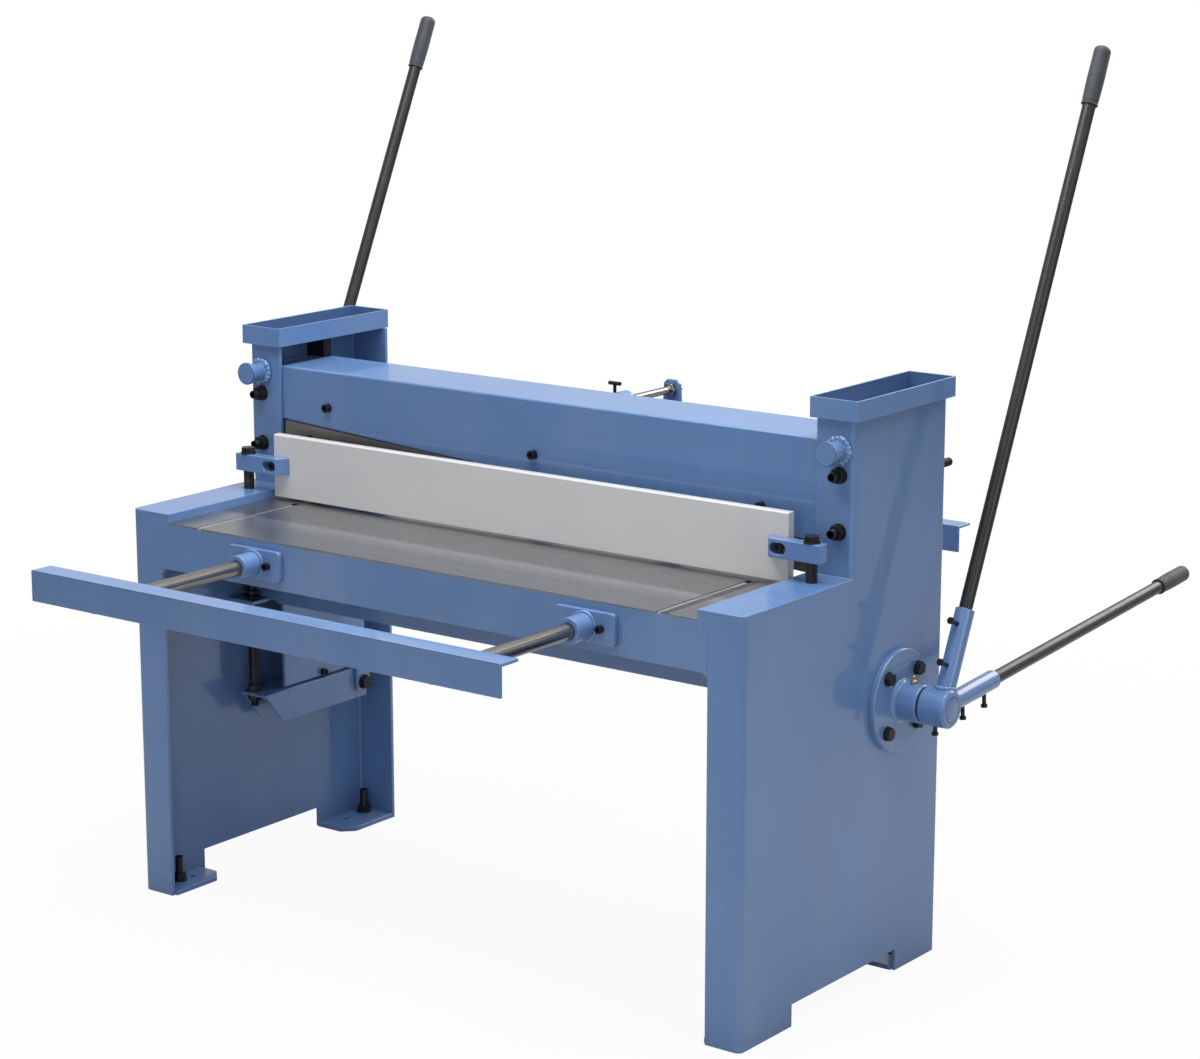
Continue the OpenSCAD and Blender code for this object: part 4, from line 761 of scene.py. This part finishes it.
def bar_along_y(x, y, z, corner):
    """Straight bar with its long edges cut off: the eight corners of its section at each end. Each
    of x, y and z is a pair, its lowest and its highest value."""
    (x0, x1), (y0, y1), (z0, z1) = x, y, z
    around_x = np.array([x0 + corner, x1 - corner, x1, x1, x1 - corner, x0 + corner, x0, x0])
    around_z = np.array([z0, z0, z0 + corner, z1 - corner, z1, z1, z1 - corner, z0 + corner])
    ends = [np.stack([around_x, np.full(8, end), around_z], -1) for end in (y0, y1)]
    return capped(np.vstack(ends), 8)


class SHEAR_OT_strips(bpy.types.Operator):
    """Lays pale steel strips in the mouths of the table's two slots, a painted highlight for their lit
    walls
    """

    bl_idname = "shear.strips"
    bl_label = "Slot strips"

    def execute(self, context):
        low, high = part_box("table_plate")
        sunk, thick, inset, corner = 0.0002, 0.0058, 0.0003, 0.0004
        top = high.z - sunk
        strip = bar_along_y(STRIP_X, (low.y + inset, STRIP_END_Y), (top - thick, top), corner)
        finish = finishes()["bright_strip"]
        make_piece("slot_strips", mirrored(strip), finish, "frame", smooth=False)
        return {"FINISHED"}


def spring(centre, low, high, radius, wire, turns):
    """Coil with closed ends: the height runs slowly over the first and last turn, where the
    turns lie together, and evenly between them; point = centre + radius * (cos a, sin a)."""
    per_turn, sides, closeness = 26, 12, 1.02
    share = np.linspace(0, 1, turns * per_turn + 1)
    a = share * turns * 2 * math.pi
    turn = share * turns
    dead = wire * closeness
    free = (high - low - wire - 2 * dead) / (turns - 2)
    rise = np.where(turn < 1, turn * dead, dead + (np.minimum(turn, turns - 1) - 1) * free)
    rise = rise + np.clip(turn - (turns - 1), 0, 1) * dead
    path = np.stack(
        [centre[0] + radius * np.cos(a), centre[1] + radius * np.sin(a), low + wire / 2 + rise], -1
    )
    out = np.stack([np.cos(a), np.sin(a), 0 * a], -1)
    return capped(sweep(path, out, wire / 2, sides)[0], sides)


class SHEAR_OT_springs(bpy.types.Operator):
    """Winds the presser springs and the lifting springs"""

    bl_idname = "shear.springs"
    bl_label = "Springs"

    def execute(self, context):
        own = settings()
        for name, radius, wire, turns, joint, travel in (
            ("presser_springs", 0.016, 0.0055, own.presser_turns, "beam_slide", STROKE),
            ("lifting_springs", 0.017, 0.0045, own.lifting_turns, "hold_down_slide", BAR_TRAVEL),
        ):
            low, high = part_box(name)
            x = (high.x + low.x) / 2 + (high.x - radius - wire / 2)
            y = (high.y + low.y) / 2
            coil = spring((x, y), low.z, high.z, radius, wire, turns)
            piece = make_piece(
                "wound_" + name, mirrored(coil), finishes()["spring_steel"], "frame"
            )
            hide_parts(name)
            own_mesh(piece)
        return {"FINISHED"}


def lever_frame(which):
    """Unit vector along a lever, and the one square to it in the YZ plane."""
    a = LEVER_ANGLES[which]
    return np.array([0, math.cos(a), math.sin(a)]), np.array([0, -math.sin(a), math.cos(a)])


def grip_profile(length, radius, inner):
    """Radius and height of a grip: rolled mouth, faint waist, full middle and domed end."""
    dome, waist, flare = 0.010, 0.0007, 0.0012
    lip, roll, mouth, collar = 0.0016, 0.0020, 0.0022, 0.004
    h = np.linspace(collar, length - dome, 40)
    share = h / length
    body = radius - waist * np.cos(share * 2 * math.pi) * (1 - share)
    body = body - flare * np.clip(1 - share * 9, 0, 1) ** 2
    a = np.linspace(0.25, math.pi / 2, 9)[1:]
    crown = np.stack([radius - dome + dome * np.cos(a), length - dome + dome * np.sin(a)], -1)
    t = np.linspace(math.pi, 0, 9)
    rim = np.stack([radius - lip + lip * np.cos(t), mouth - roll * np.sin(t)], -1)
    return np.vstack([[[inner, roll]], rim, np.stack([body, h], -1), crown, [[0.0, length]]])


class SHEAR_OT_grips(bpy.types.Operator):
    """Moulds the rubber grips over the ends of the levers"""

    bl_idname = "shear.grips"
    bl_label = "Grips"

    def execute(self, context):
        sides, mouth_r, crest, rim, foot = 40, 0.0160, 0.0019, 0.0012, 0.0006
        well = [[TUBE_R, crest], [mouth_r, rim], [mouth_r, foot], [TUBE_R, foot]]
        for which in ("front", "rear"):
            along, _ = lever_frame(which)
            base = SHAFT + [LEVER_X, 0, 0] + along * (LEVER_REACH[which] - GRIP_LENGTH)
            profile = grip_profile(GRIP_LENGTH, GRIP_R, TUBE_R)
            shape = lathe(profile, base, along, (1, 0, 0), sides)
            rubber = finishes()["grip_rubber"]
            name = "moulded_grips_" + which
            piece = make_piece(name, mirrored(shape), rubber, "lever_shaft")
            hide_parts(which + "_lever_grips")
            # A near-black ring under the lip of each grip's mouth: painted shade round the tube
            points, _ = lathe(well, base, along, (1, 0, 0), sides)
            mouth = mirrored((points, grid_quads(len(well), sides, round_row=True)))
            dark = finishes()["grip_mouth"]
            make_piece("grip_mouths_" + which, mouth, dark, "lever_shaft")
        return {"FINISHED"}


def bead_ring(centre, axis, across, radius, thick, ripple=46, flat=0.7, swell=0.10):
    """Weld bead around a bar: a circle whose thickness swells a little with each ripple, thickness
    = thick * (1 + swell * sin(ripple * t) + swell * sin(5 t + 1))."""
    t = np.linspace(0, 2 * math.pi, ripple * 4, endpoint=False)
    axis, across = unit(axis), unit(across)
    side = np.cross(axis, across)
    out = np.cos(t)[:, None] * across + np.sin(t)[:, None] * side
    wave = 1 + swell * np.sin(t * ripple) + swell * np.sin(t * 5 + 1.0)
    return sweep(centre + radius * out, out, thick * wave, 10, closed=True, flat=flat)


def bead_line(start, end, normal, thick, ripple=0.004):
    """Straight weld bead whose thickness swells a little with each ripple and runs out at both
    ends, there as the square root of the way left over the thickness."""
    start, end = np.asarray(start, float), np.asarray(end, float)
    length = np.linalg.norm(end - start)
    n = max(12, int(length / ripple * 3))
    s = np.linspace(0, 1, n)
    wave = 1 + 0.12 * np.sin(s * length / ripple * 2 * math.pi)
    wave = wave * np.sqrt(np.clip(np.minimum(s, 1 - s) * length / thick, 0.05, 1))
    path = start + (end - start) * s[:, None]
    outward = np.broadcast_to(unit(normal), path.shape)
    return capped(sweep(path, outward, thick * wave, 8)[0], 8)


def socket_bead(which, thick):
    """Bead where a lever's socket leaves the round hub: the two cylinders' common curve,
    point = hub + a cos t * x + a sin t * square + sqrt(R^2 - (a sin t)^2) * along."""
    along, square = lever_frame(which)
    t = np.linspace(0, 2 * math.pi, 160, endpoint=False)
    a = SOCKET_R + thick * 0.1
    reach = np.sqrt(HUB_R**2 - (a * np.sin(t)) ** 2) + thick * 0.3
    out = np.cos(t)[:, None] * np.array([1.0, 0, 0]) + np.sin(t)[:, None] * square
    path = SHAFT + [LEVER_X, 0, 0] + a * out + reach[:, None] * along
    wave = (1 + 0.08 * np.sin(t * 30) + 0.10 * np.sin(t * 3)) * (1 - 0.45 * np.cos(t) ** 2)
    return sweep(path, out, thick * wave, 12, closed=True)


class SHEAR_OT_welds(bpy.types.Operator):
    """Lays the painted weld beads of the hubs, pins, sockets, trays and back gauge"""

    bl_idname = "shear.welds"
    bl_label = "Weld beads"

    def execute(self, context):
        bead = settings().bead
        finish = finishes()["weld_enamel"]
        hubs = [socket_bead(which, bead * 1.5) for which in LEVER_ANGLES]
        make_piece("hub_welds", mirrored(merge(hubs)), finish, "lever_shaft")
        low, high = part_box("lifting_pins")
        ahead, side = (0, 1, 0), (1, 0, 0)
        pin_r, inset = 0.025, 0.0035
        pin = np.array([high.x - pin_r, high.y - bead * 1.1, (low.z + high.z) / 2])
        pins = bead_ring(
            pin, ahead, side, pin_r - inset, bead * 1.9, ripple=17, flat=0.8, swell=0.14
        )
        boss_x, boss_r = 0.7636, 0.0390
        boss = bead_ring(SHAFT + [boss_x, 0, 0], side, ahead, boss_r, bead * 1.1)
        low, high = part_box("support_sockets")
        tube_x, tube_r, plate = 0.408, 0.0262, 0.012
        tube = np.array([tube_x, high.y - plate - bead * 0.4, (low.z + high.z) / 2])
        tubes = bead_ring(tube, ahead, side, tube_r, bead)
        rings = mirrored(merge([pins, boss, tubes]))
        make_piece("frame_welds", rings, finish, "frame")
        low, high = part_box("tool_trays")
        corner_x, left_x = 0.742, 0.672
        front_y, start_y, end_y = low.y + 0.010, 0.020, 0.330
        seam = [
            bead_line((left_x, front_y, low.z), (corner_x, front_y, low.z), (0, -1, -1), bead),
            bead_line((corner_x, start_y, low.z), (corner_x, end_y, low.z), (1, 0, -1), bead * 0.8),
        ]
        make_piece("tray_welds", mirrored(merge(seam)), finish, "frame")
        low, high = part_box("gauge_hangers")
        foot, half, plate = high.x - 0.030, 0.028, 0.0045
        middle, z = (low.y + high.y) / 2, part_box("gauge_angle")[1].z
        hangers = [
            bead_line((x - half, y, z), (x + half, y, z), (0, way, 1), bead)
            for x in (-foot, 0.0, foot)
            for way, y in ((-1, middle - plate), (1, middle + plate))
        ]
        make_piece("hanger_welds", merge(hangers), finish, "back_gauge")
        return {"FINISHED"}


def thread(base, axis, length, radius, pitch, depth):
    """Screw thread: the radius is a rounded saw of the height minus the turn, in pitches;
    radius = root + depth * |2 * frac(h / pitch - t / 2 pi) - 1|, closed down at both ends."""
    sides, per_pitch, lead = 20, 6, 0.0012
    h = np.linspace(0, length, int(length / pitch * per_pitch) + 1)[:, None]
    t = np.linspace(0, 2 * math.pi, sides, endpoint=False)[None, :]
    saw = np.abs(2 * np.mod(h / pitch - t / (2 * math.pi), 1.0) - 1)
    r = radius - depth + depth * np.clip(saw * 1.35 - 0.15, 0, 1)
    r = r - np.clip(lead - (length - h), 0, None)
    axis = unit(axis)
    across = unit(np.cross(axis, [0.3, 0.5, 0.8]))
    side = np.cross(axis, across)
    ring = np.cos(t)[..., None] * across + np.sin(t)[..., None] * side
    points = np.asarray(base, float) + h[..., None] * axis + r[..., None] * ring
    return capped(points.reshape(-1, 3), sides)


class SHEAR_OT_threads(bpy.types.Operator):
    """Cuts the threads of the studs, jack bolts and levelling bolts"""

    bl_idname = "shear.threads"
    bl_label = "Threads"

    def execute(self, context):
        pitch = settings().pitch
        finish = finishes()["black_oxide"]
        up, down, back, ahead = (0, 0, 1), (0, 0, -1), (0, 1, 0), (0, -1, 0)

        def stud(base, axis, length):
            """Thread of the common stud."""
            return thread(base, axis, length, STUD_R, pitch, THREAD_DEPTH)

        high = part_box("levelling_bolts")[1]
        foot_x, nut_z = 0.712, 0.0265
        fixed = [stud((foot_x, y, nut_z), up, high.z - nut_z) for y in (-0.278, 0.306)]
        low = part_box("gib_screws")[0]
        guide_x, nut_y = 0.717, -0.0025
        fixed += [stud((guide_x, nut_y, z), ahead, nut_y - low.y) for z in (0.897, 1.003)]
        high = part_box("rear_jack_bolts")[1]
        jack_z, nut_y, rail_y, free = 0.966, 0.3565, 0.208, 0.122
        fixed.append(stud((guide_x, nut_y, jack_z), back, high.y - nut_y))
        fixed.append(stud((guide_x, rail_y, jack_z), back, free))
        make_piece("frame_threads", mirrored(merge(fixed)), finish, "frame")
        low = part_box("hold_down_rods")[0]
        rod_x, rod_y, above, below, gap = 0.700, -0.050, 0.3860, 0.3520, 0.0095
        rods = [
            stud((rod_x, rod_y, above), up, gap),
            stud((rod_x, rod_y, below), down, below - low.z),
        ]
        make_piece("rod_threads", mirrored(merge(rods)), finish, "hold_down")
        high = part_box("pull_rods")[1]
        pull_x, pull_y, nut_z, radius, coarse, depth = 0.696, 0.110, 0.9455, 0.0145, 1.25, 0.0012
        pull = thread(
            (pull_x, pull_y, nut_z), up, high.z - nut_z, radius, pitch * coarse, depth
        )
        finish = finishes()["turned_bar_z"]
        make_piece("pull_rod_threads", mirrored(pull), finish, "beam")
        return {"FINISHED"}


class SHEAR_OT_caps(bpy.types.Operator):
    """Sets the painted end discs on the lever shaft, with their punch marks"""

    bl_idname = "shear.caps"
    bl_label = "Shaft ends"

    def execute(self, context):
        recess, thick, radius, edge, lift, shoulder = 0.0003, 0.0009, 0.0238, 0.0006, 0.0003, 0.0007
        face_x = HUB_OUT - recess
        profile = [
            [0, 0], [radius - edge, 0], [radius, lift], [radius, shoulder],
            [radius - edge, thick], [0, thick],
        ]
        base = SHAFT + [face_x - thick, 0, 0]
        disc = mirrored(lathe(profile, base, (1, 0, 0), (0, 1, 0), 64))
        finish = finishes()["machine_enamel"]
        make_piece("shaft_end_discs", disc, finish, "lever_shaft")
        ring_r, sunk, dot_r, top_r, wall, height = 0.0205, 0.0002, 0.0013, 0.0008, 0.0003, 0.0004
        dot = [[0, 0], [dot_r, 0], [dot_r, wall], [top_r, height], [0, height]]
        marks = []
        for angle in (100, 220, 340):
            a = math.radians(angle)
            place = SHAFT + [face_x - sunk, ring_r * math.cos(a), ring_r * math.sin(a)]
            marks.append(lathe(dot, place, (1, 0, 0), (0, 1, 0), 16))
        finish = finishes()["black_oxide"]
        make_piece("punch_marks", mirrored(merge(marks)), finish, "lever_shaft")
        return {"FINISHED"}


def lamp(name, place, target, energy, size):
    """An area lamp that faces a target."""
    data = bpy.data.lights.new(name, "AREA")
    data.energy, data.shape = energy, "RECTANGLE"
    data.size, data.size_y = size
    made_lamp = bpy.data.objects.new(name, data)
    made_lamp.location = place
    direction = Vector(target) - Vector(place)
    made_lamp.rotation_euler = direction.to_track_quat("-Z", "Y").to_euler()
    bpy.context.scene.collection.objects.link(made_lamp)


class SHEAR_OT_stage(bpy.types.Operator):
    """Sets the camera, the pale floor and the studio lamps"""

    bl_idname = "shear.stage"
    bl_label = "Stage"

    def execute(self, context):
        scene = context.scene
        scene.view_settings.view_transform = "Standard"
        data = bpy.data.cameras.new("photo_camera")
        data.sensor_width, data.lens = 36.0, 91.96
        data.shift_x, data.shift_y = 0.00015, 0.0027
        data.clip_end = 60
        camera = bpy.data.objects.new("photo_camera", data)
        camera.location = (3.65707, -4.63316, 2.12892)
        camera.rotation_euler = Euler((math.radians(77.32), 0, math.radians(36.89)))
        scene.collection.objects.link(camera)
        scene.camera = camera

        reach, floor_z = 40.0, -0.0005
        corners = ((-1, -1), (1, -1), (1, 1), (-1, 1))
        places = [(x * reach, y * reach, floor_z) for x, y in corners]
        mesh = bpy.data.meshes.new("floor")
        mesh.from_pydata(places, [], [(0, 1, 2, 3)])
        floor = bpy.data.objects.new("floor", mesh)
        scene.collection.objects.link(floor)
        mesh.materials.append(self.floor_finish())
        self.sky(scene)

        level = settings().light
        middle = (0, 0, 0.7)
        lamp("overhead", (0.3, -0.3, 4.2), middle, 250 * level, (4.2, 3.0))
        lamp("front_right", (1.8, -5.0, 1.7), middle, 44 * level, (2.4, 2.8))
        lamp("right_side", (5.2, -0.6, 2.4), middle, 26 * level, (2.2, 2.2))
        lamp("back_rim", (1.0, 4.6, 3.2), middle, 80 * level, (3.0, 1.6))
        return {"FINISHED"}

    def floor_finish(self):
        """Pale floor that keeps a faint shadow and is white to the camera elsewhere."""
        s = Shader("pale_floor")
        seen = s.signal("ShaderNodeLightPath", out="Is Camera Ray")
        plain = s.signal("ShaderNodeBsdfDiffuse", inputs={"Color": (0.50, 0.50, 0.50, 1)})
        white = s.signal("ShaderNodeEmission", inputs={"Color": (1, 1, 1, 1), "Strength": 1.0})
        away = ((s.x * s.x + s.y * s.y) ** 0.5).between(0.9, 3.2)
        share = seen * (away * 0.06 + 0.94)
        both = s.signal("ShaderNodeMixShader", inputs={0: share, 1: plain, 2: white})
        s.node("ShaderNodeOutputMaterial", inputs={0: both})
        return s.material

    def sky(self, scene):
        """Plain grey surround for light, paler in reflections and white to the camera."""
        world = bpy.data.worlds.new("studio")
        scene.world = world
        world.use_nodes = True
        s = Nodes(world.node_tree)
        rays = s.node("ShaderNodeLightPath").outputs
        seen, glossy, through = (
            Signal(s, rays[f"Is {kind} Ray"]) for kind in ("Camera", "Glossy", "Transmission")
        )
        lit = s.math("MAXIMUM", seen, s.math("MAXIMUM", glossy, through) * 0.45)
        inputs = {"Value": lit, "To Min": 0.24, "To Max": 1.0}
        strength = s.signal("ShaderNodeMapRange", inputs=inputs)
        inputs = {"Color": (1, 1, 1, 1), "Strength": strength}
        s.node("ShaderNodeOutputWorld", inputs={0: s.signal("ShaderNodeBackground", inputs=inputs)})


OPERATORS = (
    SHEAR_OT_dress, SHEAR_OT_brackets, SHEAR_OT_strips, SHEAR_OT_springs, SHEAR_OT_grips,
    SHEAR_OT_welds, SHEAR_OT_threads, SHEAR_OT_caps, SHEAR_OT_stage,
)


class SHEAR_PT_panel(bpy.types.Panel):
    """Sizes, colours and steps of the shear"""

    bl_idname = "SHEAR_PT_panel"
    bl_label = "Sheet metal shear"
    bl_space_type = "VIEW_3D"
    bl_region_type = "UI"
    bl_category = "Shear"

    def draw(self, context):
        own = settings()
        for name in ShearSettings.__annotations__:
            self.layout.prop(own, name)
        for step in OPERATORS:
            self.layout.operator(step.bl_idname)


CLASSES = (ShearSettings, *OPERATORS, SHEAR_PT_panel)


def register():
    for item in CLASSES:
        bpy.utils.register_class(item)
    bpy.types.Scene.shear = PointerProperty(type=ShearSettings)


def unregister():
    del bpy.types.Scene.shear
    for item in reversed(CLASSES):
        bpy.utils.unregister_class(item)


def main():
    register()
    bpy.ops.shear.stage()
    bpy.ops.shear.dress()
    bpy.ops.shear.brackets()
    bpy.ops.shear.strips()
    bpy.ops.shear.springs()
    bpy.ops.shear.grips()
    bpy.ops.shear.welds()
    bpy.ops.shear.threads()
    bpy.ops.shear.caps()


if __name__ == "__main__":
    main()
